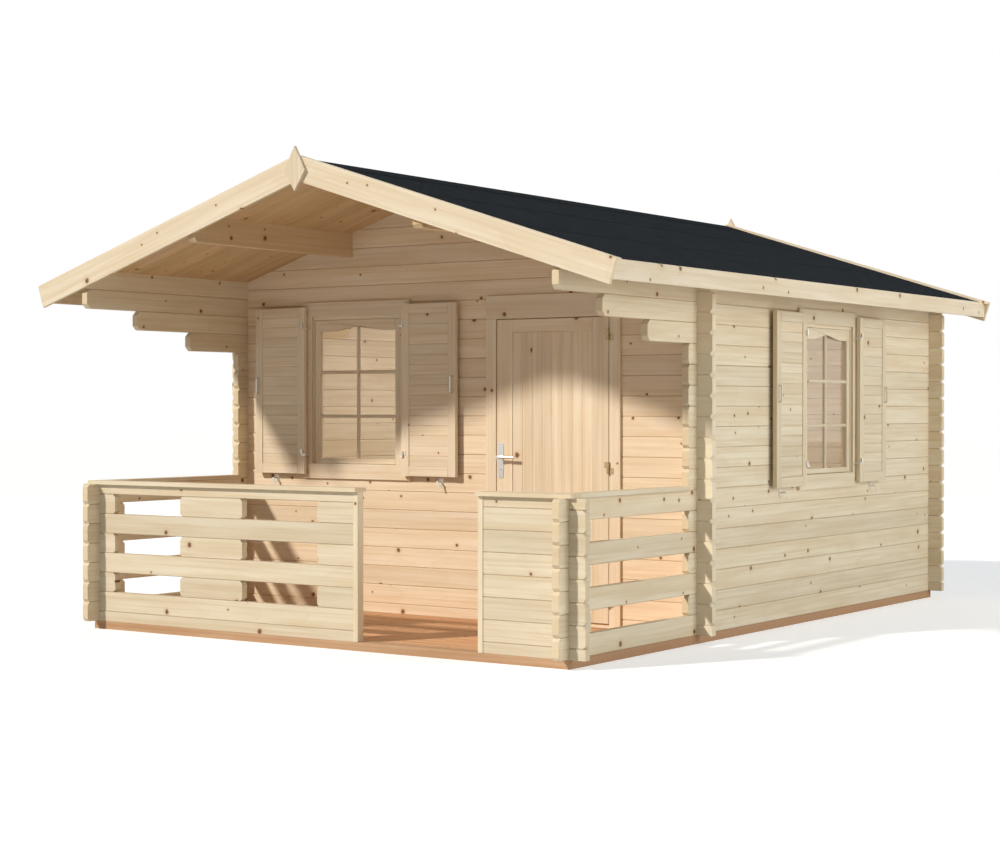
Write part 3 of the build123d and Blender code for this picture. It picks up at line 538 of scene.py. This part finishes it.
for side, word in ((-1, "left"), (1, "right")):
    roof_wood = spruce(
        "roof_wood_" + word, "X", "Y", 0, 0, roof_bounce_pale, roof_bounce_mid, knots=0.2, angle=-side * roof_pitch,
        tone=0.16,
    )
    reach = ridge_high[0] / math.cos(roof_pitch)
    place = on_slope(side, ridge_under)
    first_roof_board = ridge_low[1] + roof_board_pitch / 2
    boarding = grown("roof_boarding_" + word, row_tree, {
        "Start": place(Vector((ridge_gap, first_roof_board, board_thickness / 2))),
        "End": place(Vector((reach - fascia_gap, first_roof_board, board_thickness / 2))),
        "Width": roof_board_pitch - roof_board_gap, "Height": board_thickness, "Ease": roof_board_ease,
        "Count": roof_board_count, "Step": (0.0, roof_board_pitch, 0.0), "Seed": 13 + side,
    }, roof_wood, "house")
    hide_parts("roof_boards_" + word)

# Roofing felt: bitumen felt with mineral granules, rolled out along the eaves in strips that lap 80 mm over
# the one below, nailed along the laps, with a folded strip over the ridge.
felt_low, felt_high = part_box("roof_felt_right")


def mesh_object(name, points, faces, material, body):
    """A finished piece from points and faces, at their place on the house."""
    mesh = bpy.data.meshes.new(name)
    mesh.from_pydata([tuple(point) for point in points], [], faces)
    work = bmesh.new()
    work.from_mesh(mesh)
    bmesh.ops.recalc_face_normals(work, faces=work.faces)
    work.to_mesh(mesh)
    work.free()
    mesh.materials.append(material)
    piece = put_in(name, mesh)
    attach(piece, body)
    return piece


felt, tree, shader = new_material("mineral_felt")
place = tree.nodes.new("ShaderNodeTexCoord").outputs["Object"]
grains = tree.nodes.new("ShaderNodeTexVoronoi")
grains.inputs["Scale"].default_value = 420.0
tree.links.new(place, grains.inputs["Vector"])
grain_shade = tree.nodes.new("ShaderNodeSeparateColor")
tree.links.new(grains.outputs["Color"], grain_shade.inputs[0])
down_roof = tree.nodes.new("ShaderNodeMapping")
down_roof.inputs["Scale"].default_value = (1.2, 6.0, 1.2)
tree.links.new(place, down_roof.inputs["Vector"])
patches = noise(tree, down_roof.outputs[0], 3.0, 5.0, 0.65)
speckle = ramp(tree, grain_shade.outputs["Red"], (
    (0.0, (0.012, 0.014, 0.016)), (0.6, (0.022, 0.025, 0.028)),
    (0.9, (0.040, 0.045, 0.049)), (1.0, (0.11, 0.12, 0.13)),
))
patches = ramp(tree, patches, ((0.40, (0, 0, 0)), (0.75, (0.45, 0.45, 0.45))))
tree.links.new(mixed(tree, patches, speckle, (0.044, 0.050, 0.055)), shader.inputs["Base Color"])
shader.inputs["Roughness"].default_value = 0.92
shader.inputs["Specular IOR Level"].default_value = 0.0
waves = math_node(tree, "MULTIPLY", noise(tree, place, 9.0), 1.5)
bumped(tree, shader, math_node(tree, "ADD", grains.outputs["Distance"], waves), 0.5, 0.0012)

felt_base = ridge_high[2]
felt_thick = 0.0040
strip_count = 3
strip_lap = 0.08
strip_steps = 24
lifted_edge = 0.012
under_lap = 0.0012
ripple_height = 0.0006
felt_reach = felt_high[0] / math.cos(roof_pitch) - 0.004
strip_pitch = (felt_reach - 0.05) / strip_count
felt_length = felt_high[1] - felt_low[1]
across = [felt_low[1] + felt_length * part / strip_steps for part in range(strip_steps + 1)]
for side, word in ((-1, "left"), (1, "right")):
    points, faces = [], []
    place = on_slope(side, felt_base)
    for number in range(strip_count):
        start = felt_reach - (number + 1) * strip_pitch - (strip_lap if number < strip_count - 1 else 0.0)
        end = felt_reach - number * strip_pitch
        outline = [
            (start, 0.0), (end, 0.0004), (end, felt_thick), (end - lifted_edge, felt_thick),
            (start, under_lap),
        ]
        first = len(points)
        for count, y in enumerate(across):
            for down, up in outline:
                ripple = ripple_height * math.sin(count * 2.4 + number * 1.7) if down == end else 0.0
                points.append(place(Vector((down + ripple, y, up))))
        size = len(outline)
        for count in range(len(across) - 1):
            for corner in range(size):
                after = (corner + 1) % size
                one, two = first + count * size, first + (count + 1) * size
                faces.append((one + corner, one + after, two + after, two + corner))
        faces.append(tuple(first + corner for corner in range(size)))
        faces.append(tuple(first + (len(across) - 1) * size + corner for corner in range(size)))
    sheets = mesh_object("felt_strips_" + word, points, faces, felt, "house")
    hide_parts("roof_felt_" + word)
ridge_width = 0.16
ridge_sink = 0.0012
ridge_top = felt_base + felt_thick / math.cos(roof_pitch) - ridge_sink
ridge_fold = (
    (-ridge_width, 0.0), (0.0, 0.0), (ridge_width, 0.0),
    (ridge_width, 0.0026), (0.0, 0.0030), (-ridge_width, 0.0026),
)
points = []
for y in (felt_low[1], felt_high[1]):
    points += [(x, y, ridge_top - abs(x) * math.tan(roof_pitch) + lift) for x, lift in ridge_fold]
faces = [(corner, (corner + 1) % 6, (corner + 1) % 6 + 6, corner + 6) for corner in range(6)]
faces += [(0, 5, 4, 1), (1, 4, 3, 2), (6, 7, 10, 11), (7, 8, 9, 10)]
mesh_object("felt_ridge_strip", points, faces, felt, "house")

# Bargeboards, cover strips and eaves fascias: planed spruce boards nailed to the ends of the roof boards,
# the strips on top of the bargeboards to hold the edge of the felt down.
edge_pale, edge_mid = (0.795, 0.695, 0.530), (0.725, 0.600, 0.420)
one_lot = 0.6  # wider than any of these boards, so that each is one piece across
barge_woods = [
    spruce(
        "barge_wood_" + word, "X", "Z", one_lot, one_lot / 2, edge_pale, edge_mid, knots=0.35,
        angle=-side * roof_pitch,
    )
    for side, word in ((-1, "left"), (1, "right"))
]


def dress_halves(name, first, second, axis, line):
    """Gives a CAD node the first material up to a line across an axis, and the second past it."""
    dress(first, name)
    nodes[name].data.materials.append(second)
    for polygon in nodes[name].data.polygons:
        polygon.material_index = 1 if polygon.center[axis] > line else 0


for name in ("bargeboards", "cover_strips"):
    dress_halves(name, *barge_woods, 0, 0.0)
eaves_wood = spruce("eaves_wood", "Y", "Z", one_lot, one_lot / 2, edge_pale, edge_mid, knots=0.4)
dress(eaves_wood, "eaves_fascias")
fascia_low, fascia_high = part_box("eaves_fascias")
fascia_face = fascia_high[0]
fascia_level = (fascia_low[2] + fascia_high[2]) / 2

# Finials: a long diamond sawn from a spruce board with its grain upright, nailed over the mitre of each pair
# of bargeboards, at the front and at the back.
finial_lot = 0.5
finial_wood = spruce("finial_wood", "Z", "X", finial_lot, finial_lot / 2, edge_pale, edge_mid, knots=0.1)
dress(finial_wood, "finials")

# Rail caps and end posts: planed spruce boards, the caps screwed down flat on the rails as an elbow rest,
# the posts screwed upright against the ends of the rail logs beside the way in.
cap_lot, post_lot = 0.9, 0.4
first_cap_lot = -2.8
cap_wood_x = spruce("cap_wood_x", "X", "Y", cap_lot, first_cap_lot, log_pale, log_mid, knots=0.1)
cap_wood_y = spruce("cap_wood_y", "Y", "X", cap_lot, cap_lot / 2, log_pale, log_mid, knots=0.1)
post_wood = spruce("post_wood", "Z", "X", post_lot, post_lot / 2, log_pale, log_mid, knots=0.3)
cap_corner = -2.27
dress_halves("rail_caps", cap_wood_x, cap_wood_y, 1, cap_corner)
dress(post_wood, "rail_end_posts")

# Window frames: a lining set in the opening of the logs, with flat trim boards nailed on outside, the head
# and the foot board running over the uprights, all of planed spruce with eased edges.
trim_pale, trim_mid = (0.785, 0.690, 0.515), (0.710, 0.590, 0.410)
# a paler, warmer copy of the trim colours for the joinery under the porch roof: painted light that lifts it
# out of the porch shade
porch_lightened_pale, porch_lightened_mid = (0.870, 0.755, 0.580), (0.795, 0.655, 0.465)
upright_wood = spruce("upright_wood", "Z", "X", 0, 0, porch_lightened_pale, porch_lightened_mid, knots=0.12)
side_upright_wood = spruce("side_upright_wood", "Z", "Y", 0, 0, trim_pale, trim_mid, knots=0.12)
cross_wood = spruce("cross_wood", "X", "Z", 0, 0, porch_lightened_pale, porch_lightened_mid, knots=0.15)
side_cross_wood = spruce("side_cross_wood", "Y", "Z", 0, 0, trim_pale, trim_mid, knots=0.15)
wall_front, wall_side = -1.0425, 1.65
window_middle, side_middle = -0.72204, 0.6075
front_sill, side_sill = 0.903, 0.846


def on_front(point):
    """(along the wall, height over the sill log, out from the wall) to the front wall's window."""
    return Vector((window_middle + point.x, wall_front - point.z, front_sill + point.y))


def on_side(point):
    """The same for the window in the right wall."""
    return Vector((wall_side + point.z, side_middle + point.x, side_sill + point.y))


def bar(low, high, cut):
    """Points and faces of a board along its longest side, with its four long edges cut."""
    low, high = Vector(low), Vector(high)
    size = high - low
    long_axis = max(range(3), key=lambda axis: size[axis])
    one, two = [axis for axis in range(3) if axis != long_axis]
    outline = [
        (low[one] + cut, low[two]), (high[one] - cut, low[two]), (high[one], low[two] + cut),
        (high[one], high[two] - cut), (high[one] - cut, high[two]), (low[one] + cut, high[two]),
        (low[one], high[two] - cut), (low[one], low[two] + cut),
    ]
    points = []
    for end in (low[long_axis], high[long_axis]):
        for first, second in outline:
            point = [0, 0, 0]
            point[long_axis], point[one], point[two] = end, first, second
            points.append(tuple(point))
    faces = [tuple(range(7, -1, -1)), tuple(range(8, 16))]
    faces += [(side, (side + 1) % 8, (side + 1) % 8 + 8, side + 8) for side in range(8)]
    return points, faces


def boards(name, bars, material, body, change, extra=()):
    """One piece from many boards, each cut from its own lot; change maps each point to its place."""
    points, faces, lots = [], [], []
    for number, (more, sides) in enumerate([bar(*item) for item in bars] + list(extra)):
        faces += [tuple(corner + len(points) for corner in side) for side in sides]
        lots += [(number * 0.618 + len(bars) * 0.37) % 1.0 * 5.0] * len(sides)
        points += more
    points = [change(Vector(point)) for point in points]
    piece = mesh_object(name, points, faces, material, body)
    batch = piece.data.attributes.new("lot", "FLOAT", "FACE")
    batch.data.foreach_set("value", lots)
    return piece


def pairs(inner, outer, low, high, back, front, cut):
    """Two like uprights, left and right of a middle line."""
    return [
        ((-outer, low, back), (-inner, high, front), cut), ((inner, low, back), (outer, high, front), cut),
    ]


windows = (
    ("front", on_front, upright_wood, cross_wood), ("side", on_side, side_upright_wood, side_cross_wood),
)
trim_inner, trim_outer, trim_front, trim_ease, trim_gap = 0.346, 0.417, 0.017, 0.0015, 0.0003
head_board, foot_board = (0.955, 1.044), (-0.048, 0.044)
lining_inner, lining_outer, lining_ease, lining_gap = 0.336, 0.368, 0.001, 0.0005
lining_back, lining_front = -0.052, -0.0002
head_lining, foot_lining = (0.934, 1.025), (0.001, 0.044)
for word, change, upright, cross in windows:
    low, high = foot_board[1] + trim_gap, head_board[0] - trim_gap
    uprights = pairs(trim_inner, trim_outer, low, high, 0.0, trim_front, trim_ease)
    low, high = foot_lining[1] + lining_gap, head_lining[0] - lining_gap
    uprights += pairs(lining_inner, lining_outer, low, high, lining_back, 0.0, lining_ease)
    boards("window_trim_uprights_" + word, uprights, upright, "house", change)
    flat = [
        ((-trim_outer, low, 0.0), (trim_outer, high, trim_front), trim_ease)
        for low, high in (head_board, foot_board)
    ]
    flat += [
        ((-lining_outer, low, lining_back), (lining_outer, high, lining_front), lining_ease)
        for low, high in (head_lining, foot_lining)
    ]
    frame_boards = boards("window_trim_boards_" + word, flat, cross, "house", change)
    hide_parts("window_frames")

# Sashes: planed spruce stiles and rails, mortised together, with an arched head rail, and moulded bars that
# cross to make six lights on both sides of the pane. The sash is pressed into the lining from outside.
sash_back, sash_front = -0.036, -0.002
sash_foot, sash_head = 0.046, 0.932
stile_inner, stile_outer = 0.293, 0.334
bar_width, bar_ease = 0.021, 0.006
bar_back, bar_front = -0.032, -0.006
cross_bars = (0.328, 0.600)
upright_bar_foot, upright_bar_head = 0.076, 0.8905
rail_half, rail_top, rail_ease, rail_recess = 0.2935, 0.077, 0.003, 0.0002
arch_half, arch_foot, arch_rise = 0.205, 0.865, 0.026
arch_steps, shoulder_steps = 32, 4


def arch_rail():
    """The head rail: a flat shoulder at each end, and between them a low arch."""
    shoulder = stile_inner - arch_half
    arch = [(stile_inner - shoulder * part / shoulder_steps, arch_foot) for part in range(shoulder_steps)]
    for part in range(arch_steps + 1):
        across = arch_half - 2 * arch_half * part / arch_steps
        rise = arch_rise * (0.5 + 0.5 * math.cos(math.pi * across / arch_half))
        arch.append((across, arch_foot + rise))
    for part in range(shoulder_steps):
        arch.append((-arch_half - shoulder * (part + 1) / shoulder_steps, arch_foot))
    outline = [(-stile_inner, sash_head), (stile_inner, sash_head)] + arch
    size = len(outline)
    points = [(across, up, sash_back) for across, up in outline]
    points += [(across, up, sash_front) for across, up in outline]
    faces = [(0, 1, size + 1, size), (1, 2, size + 2, size + 1), (size - 1, 0, size, 2 * size - 1)]
    for depth in (0, size):
        arch_points = list(range(depth + 2, depth + size))
        for one, two in zip(arch_points, arch_points[1:]):
            faces.append((one, two, depth))
        faces.append((depth, depth + 1, depth + 2))
    faces += [(one, one + 1, one + 1 + size, one + size) for one in range(2, size - 1)]
    return points, faces


for word, change, upright, cross in windows:
    stiles = pairs(stile_inner, stile_outer, sash_foot, sash_head, sash_back, sash_front, rail_ease)
    low, high = (-bar_width / 2, upright_bar_foot, bar_back), (bar_width / 2, upright_bar_head, bar_front)
    stiles.append((low, high, bar_ease))
    boards("sash_stiles_" + word, stiles, upright, "house", change)
    back, front = sash_back + rail_recess, sash_front - rail_recess
    rails = [((-rail_half, sash_foot, back), (rail_half, rail_top, front), rail_ease)]
    back, front = bar_back + rail_recess, bar_front - rail_recess
    rails += [((-rail_half, low, back), (rail_half, low + bar_width, front), bar_ease) for low in cross_bars]
    sash = boards("sash_rails_" + word, rails, cross, "house", change, [arch_rail()])
    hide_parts("window_sashes")

# Door frame: a planed spruce lining with a stop and a threshold, set in the opening of the logs, and flat
# trim boards nailed on outside round the doorway, the head board over the uprights.
door_middle = 0.7128
surround_half, jamb_half, clear_half, stop_half = 0.4575, 0.418, 0.386, 0.374
jamb_back, stop_front = -0.040, -0.026
surround_top, jamb_top, door_head, stop_head = 1.899, 1.794, 1.762, 1.75
threshold_half, threshold_top, threshold_ease = 0.3858, 0.025, 0.003


def on_door(point):
    """(along the wall, height over the base beams, out from the wall) to the doorway."""
    return Vector((door_middle + point.x, wall_front - point.z, base_top + point.y))


uprights = pairs(clear_half, surround_half, 0.0, door_head - trim_gap, 0.0, trim_front, trim_ease)
uprights += pairs(clear_half, jamb_half, 0.0, door_head, jamb_back, lining_front, lining_ease)
uprights += pairs(stop_half, clear_half, threshold_top, stop_head, jamb_back, stop_front, lining_ease)
boards("door_frame_uprights", uprights, upright_wood, "house", on_door)
door_surround = boards("door_frame_boards", [
    ((-surround_half, door_head, 0.0), (surround_half, surround_top, trim_front), trim_ease),
    ((-jamb_half, door_head, jamb_back), (jamb_half, jamb_top, lining_front), lining_ease),
    ((-clear_half, stop_head, jamb_back), (clear_half, door_head, stop_front), lining_ease),
    ((-threshold_half, 0.0, jamb_back), (threshold_half, threshold_top, lining_front), threshold_ease),
], cross_wood, "house", on_door)
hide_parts("door_frame")

# Door leaf: upright tongued and grooved boards let in between two stiles, a head rail and a foot rail, all
# planed from a warmer batch of spruce and hung on three hinges.
leaf_pale, leaf_mid = (0.890, 0.765, 0.585), (0.815, 0.670, 0.470)
leaf_wood = spruce("leaf_wood", "Z", "X", 0, 0, leaf_pale, leaf_mid, knots=0.22)
leaf_rail_wood = spruce("leaf_rail_wood", "X", "Z", 0, 0, leaf_pale, leaf_mid, knots=0.15)
leaf_back, leaf_front = -0.021, 0.015
leaf_foot, leaf_head = 0.030, 1.757
leaf_half, panel_half = 0.381, 0.272
panel_foot, panel_head = 0.181, 1.681
panel_recess, panel_gap, panel_ease = 0.008, 0.0003, 0.0022
leaf_rail_half, leaf_rail_gap, leaf_ease = 0.2719, 0.001, 0.002
stiles = pairs(panel_half, leaf_half, leaf_foot, leaf_head, leaf_back, leaf_front, leaf_ease)
leaf_stiles = boards("door_leaf_stiles", stiles, leaf_wood, "door", on_door)
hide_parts("door_leaf")
leaf_count = 8
leaf_pitch = 2 * panel_half / leaf_count
leaf_depth = (leaf_back + leaf_front) / 2
first_leaf_board = -panel_half + leaf_pitch / 2
grown("door_leaf_boards", row_tree, {
    "Start": on_door(Vector((first_leaf_board, panel_foot, leaf_depth))),
    "End": on_door(Vector((first_leaf_board, panel_head, leaf_depth))),
    "Width": leaf_pitch - panel_gap, "Height": leaf_front - leaf_back - panel_recess, "Ease": panel_ease,
    "Count": leaf_count, "Step": (leaf_pitch, 0.0, 0.0), "Seed": 15,
}, leaf_wood, "door")
boards("door_leaf_rails", [
    ((-leaf_rail_half, low, leaf_back), (leaf_rail_half, high, leaf_front), leaf_ease)
    for low, high in ((panel_head + leaf_rail_gap, leaf_head), (leaf_foot, panel_foot - leaf_rail_gap))
], leaf_rail_wood, "door", on_door)

# Shutters: two stiles and two rails of planed spruce round closely laid cross boards, screwed together from
# behind. Each hangs on two hinges beside its window and folds back flat on the wall.
shutter_places = (
    ("front_left", on_front, -1, upright_wood, cross_wood),
    ("front_right", on_front, 1, upright_wood, cross_wood),
    ("side_front", on_side, -1, side_upright_wood, side_cross_wood),
    ("side_rear", on_side, 1, side_upright_wood, side_cross_wood),
)
shutter_back, shutter_face = 0.022, 0.050
shutter_inner, shutter_outer = 0.380, 0.780
shutter_foot, shutter_head = -0.020, 1.014
shutter_stile, stile_gap, shutter_ease = 0.056, 0.0001, 0.002
lattice_foot, lattice_head = 0.0395, 0.9545
lattice_recess, lattice_gap, lattice_ease = 0.005, 0.0003, 0.0025
lattice_count = 15
lattice_pitch = (lattice_head - lattice_foot) / lattice_count
lattice_depth = (shutter_back + shutter_face - lattice_recess) / 2
for word, change, side, upright, cross in shutter_places:
    body = "shutter_" + word
    near = sorted((side * shutter_inner, side * (shutter_inner + shutter_stile)))
    far = sorted((side * (shutter_outer - shutter_stile), side * shutter_outer))
    stiles = [
        ((low, shutter_foot, shutter_back), (high, shutter_head, shutter_face), shutter_ease)
        for low, high in (near, far)
    ]
    boards("shutter_stiles_" + word, stiles, upright, body, change)
    rail_ends = (shutter_inner + shutter_stile + stile_gap, shutter_outer - shutter_stile - stile_gap)
    low, high = sorted(side * end for end in rail_ends)
    shutter = boards("shutter_rails_" + word, [
        ((low, shutter_foot, shutter_back), (high, lattice_foot, shutter_face), shutter_ease),
        ((low, lattice_head, shutter_back), (high, shutter_head, shutter_face), shutter_ease),
    ], cross, body, change)
    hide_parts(body)
    grown("shutter_boards_" + word, row_tree, {
        "Start": change(Vector((low, lattice_foot + lattice_pitch / 2, lattice_depth))),
        "End": change(Vector((high, lattice_foot + lattice_pitch / 2, lattice_depth))),
        "Width": shutter_face - lattice_recess - shutter_back, "Height": lattice_pitch - lattice_gap,
        "Ease": lattice_ease, "Count": lattice_count, "Step": (0.0, 0.0, lattice_pitch), "Seed": 16 + side,
    }, cross, body)

# Ironwork: galvanised shutter hinges, pintles, hold-backs and bow handles, yellow passivated door hinges,
# and a satin lever on long back plates, all pressed from sheet or turned, and fixed with small screws.
galvanised = metal("galvanised_plate", (0.80, 0.76, 0.68), 0.38, 900.0)
yellow_zinc = metal("yellow_zinc", (0.56, 0.42, 0.24), 0.36, 900.0)
satin = metal("satin_lever", (0.86, 0.86, 0.85), 0.18, 1400.0)
dress(galvanised, "shutter_pintles", "shutter_holdbacks")
dress(galvanised, *["shutter_fittings_" + place[0] for place in shutter_places])
dress(yellow_zinc, "door_hinge_pins")
dress(satin, "door_lever")
dress_halves("door_fittings", satin, yellow_zinc, 0, door_middle)

sheet = 0.003
lever_across, lock_height = -0.351, 0.886
plate_screw_heights = (0.847, 1.029)
out_of_wall, into_room = (0, -1, 0), (0, 1, 0)
plate_screws, lock = [], []
for depth, facing in ((leaf_front + sheet, out_of_wall), (leaf_back - sheet, into_room)):
    for height in plate_screw_heights:
        plate_screws.append((on_door(Vector((lever_across, height, depth))), facing))
    lock.append((on_door(Vector((lever_across, lock_height, depth))), facing))
driven("back_plate_screws", plate_screws, "door", satin, 0.0038, 0.0017, 31)
driven("lock_cylinder", lock, "door", satin, 0.0085, 0.0030, 32, depth=0.006)
hinge_heights, hinge_screw_lifts = (0.155, 0.907, 1.659), (0.008, 0.026)
leaf_wing, frame_wing = 0.3605, 0.4065
leaf_screws, frame_screws = [], []
for hinge in hinge_heights:
    for lift in hinge_screw_lifts:
        leaf_screws.append((on_door(Vector((leaf_wing, hinge + lift, leaf_front + sheet))), out_of_wall))
        frame_screws.append((on_door(Vector((frame_wing, hinge - lift, trim_front + sheet))), out_of_wall))
hinge_head, hinge_drive = 0.0036, 0.0016
driven("door_hinge_screws", leaf_screws, "door", yellow_zinc, hinge_head, hinge_drive, 33)
driven("frame_hinge_screws", frame_screws, "house", yellow_zinc, hinge_head, hinge_drive, 34)
eye_across, eye_heights, eye_screw_lifts = 0.406, (0.105, 0.889), (0.007, 0.019)
holdback_across, holdback_height, holdback_shift = 0.642, -0.036, 0.011
small_head, small_drive = 0.0030, 0.0013
for word, change, side, upright, cross in shutter_places:
    facing = (0, -1, 0) if change is on_front else (1, 0, 0)
    eye_screws = [
        (change(Vector((side * eye_across, eye + lift, shutter_face + sheet))), facing)
        for eye in eye_heights for lift in eye_screw_lifts
    ]
    driven("hinge_screws_" + word, eye_screws, "shutter_" + word, galvanised, small_head, small_drive, 35)
    plate = [
        (change(Vector((side * holdback_across + shift, holdback_height, sheet))), facing)
        for shift in (-holdback_shift, holdback_shift)
    ]
    driven("holdback_screws_" + word, plate, "house", galvanised, small_head, small_drive, 36)

# Nails and screws of the outer boards: bright round nails through the bargeboards, the fascias and the trim
# of windows and door, and countersunk screws that hold the rail caps down on the rails.
barge_low, barge_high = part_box("bargeboards")
barge_rows, barge_drops = (0.16, 0.58, 1.02, 1.46, 1.90), (-0.025, -0.085)
nails = []
for y, facing in ((barge_low[1], out_of_wall), (barge_high[1], into_room)):
    for side in (-1, 1):
        place = on_slope(side, ridge_high[2])
        nails += [(place(Vector((down, y, drop))), facing) for down in barge_rows for drop in barge_drops]
window_upright_nails = [(across, height) for across in (-0.385, 0.385)
                        for height in (0.005, 0.20, 0.50, 0.80, 0.985, 1.015)]
window_board_nails = [(across, height) for across in (-0.20, 0.0, 0.20) for height in (0.0, 1.005)]
for word, change, upright, cross in windows:
    facing = (0, -1, 0) if change is on_front else (1, 0, 0)
    for across, height in window_upright_nails + window_board_nails:
        nails.append((change(Vector((across, height, trim_front))), facing))
for across in (-0.425, 0.438):
    for height in (0.06, 0.45, 0.80, 1.25, 1.60, 1.80, 1.87):
        nails.append((on_door(Vector((across, height, trim_front))), out_of_wall))
fascia_nails, fascia_nail_step, fascia_nail_start = 11, 0.45, 0.2
for side in (-1, 1):
    for number in range(fascia_nails):
        y = ridge_low[1] + fascia_nail_start + number * fascia_nail_step
        nails.append(((side * fascia_face, y, fascia_level), (side, 0, 0)))
driven("board_nails", nails, "house", screw_steel, 0.0026, 0.0, 41, depth=0.0008)
cap_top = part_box("rail_caps")[1][2]
front_cap, side_cap = -2.3225, 1.63
cap_screws = [((x, front_cap, cap_top), upwards) for x in (-1.60, -1.15, -0.65, -0.10, 0.30, 1.13, 1.60)]
for side in (-1, 1):
    cap_screws += [((side * side_cap, y, cap_top), upwards) for y in (-2.16, -1.68, -1.20)]
driven("cap_screws", cap_screws, "house", screw_steel, deck_head, deck_drive, 42)

# Glass: one clear pane of float glass in each sash, bedded between the bars of both sides, with a faint
# unevenness that the reflections show.
pane, tree, shader = new_material("window_pane")
shader.inputs["Transmission Weight"].default_value = 1.0
shader.inputs["IOR"].default_value = 1.45
shader.inputs["Roughness"].default_value = 0.0
shader.inputs["Base Color"].default_value = (0.94, 0.97, 0.96, 1)
place = tree.nodes.new("ShaderNodeTexCoord").outputs["Object"]
bumped(tree, shader, noise(tree, place, 5.0), 0.03, 0.001)
dress(pane, "window_glass")

# Studio: a pale plain floor under the house, a white surround, a soft sun from the front left, wide lamps at
# the right and behind, one lamp in the room for the daylight there, and the camera at eye level.
floor_reach = 60
floor_glow = 0.43
floor_mesh = bpy.data.meshes.new("studio_floor")
floor_mesh.from_pydata([
    (-floor_reach, -floor_reach, 0), (floor_reach, -floor_reach, 0),
    (floor_reach, floor_reach, 0), (-floor_reach, floor_reach, 0),
], [], [(0, 1, 2, 3)])
studio_floor = put_in("studio_floor", floor_mesh)
studio, tree, shader = new_material("studio_floor")
shader.inputs["Base Color"].default_value = (0.74, 0.74, 0.74, 1)
shader.inputs["Roughness"].default_value = 0.9
shader.inputs["Specular IOR Level"].default_value = 0.0
shader.inputs["Emission Color"].default_value = (1, 1, 1, 1)
seen = tree.nodes.new("ShaderNodeLightPath").outputs["Is Camera Ray"]
tree.links.new(math_node(tree, "MULTIPLY", seen, floor_glow), shader.inputs["Emission Strength"])
floor_mesh.materials.append(studio)
studio_floor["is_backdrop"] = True

world = bpy.data.worlds.new("studio")
bpy.context.scene.world = world
world.use_nodes = True
tree = world.node_tree
back = tree.nodes["Background"]
path = tree.nodes.new("ShaderNodeLightPath")
seen = math_node(tree, "MAXIMUM", path.outputs["Is Camera Ray"], path.outputs["Is Glossy Ray"])
seen = math_node(tree, "MAXIMUM", seen, path.outputs["Is Transmission Ray"])
sky_tint, white = (0.90, 1.0, 1.07), (1.0, 1.0, 1.0)
tree.links.new(mixed(tree, seen, sky_tint, white), back.inputs["Color"])
ambient = 0.28
level = math_node(tree, "ADD", math_node(tree, "MULTIPLY", seen, 1.0 - ambient), ambient)
tree.links.new(level, back.inputs["Strength"])


def lamp(name, kind, energy, size, place, target, color=(1, 1, 1)):
    """A lamp at a place, turned to a target."""
    light = bpy.data.lights.new(name, kind)
    light.energy = energy
    light.color = color
    if kind == "AREA":
        light.size = size
    else:
        light.angle = size
    holder = put_in(name, light)
    holder.location = place
    holder.rotation_euler = (Vector(target) - Vector(place)).to_track_quat("-Z", "Y").to_euler()


sun_spread = math.radians(4)
lamp("key_light", "SUN", 3.0, sun_spread, (-5.5, -10.0, 7.4), (0, 0, 0), (1.0, 0.94, 0.87))
lamp("side_light", "AREA", 640.0, 7.0, (12.0, 1.5, 3.3), (1.6, 0.6, 0.5))
lamp("back_light", "AREA", 380.0, 7.0, (-6.0, 13.0, 5.0), (0.0, 1.0, 1.0))
lamp("room_light", "AREA", 32.0, 2.2, (0.0, 0.6, 2.1), (0.0, 0.6, 0), (1.0, 0.93, 0.89))

camera_data = bpy.data.cameras.new("camera")
camera_data.sensor_width = 36.0
camera_data.lens = 71.555
camera_data.clip_end = 200.0
camera = put_in("camera", camera_data)
camera.location = (6.9141, -10.60716, 1.28909)
camera.rotation_euler = (math.pi / 2 - 0.0103, 0.0, 0.6019)
bpy.context.scene.camera = camera
bpy.context.scene.view_settings.view_transform = "Standard"

for corner in (*cad_box, *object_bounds()):
    json.dumps(list(corner)) + "\n"
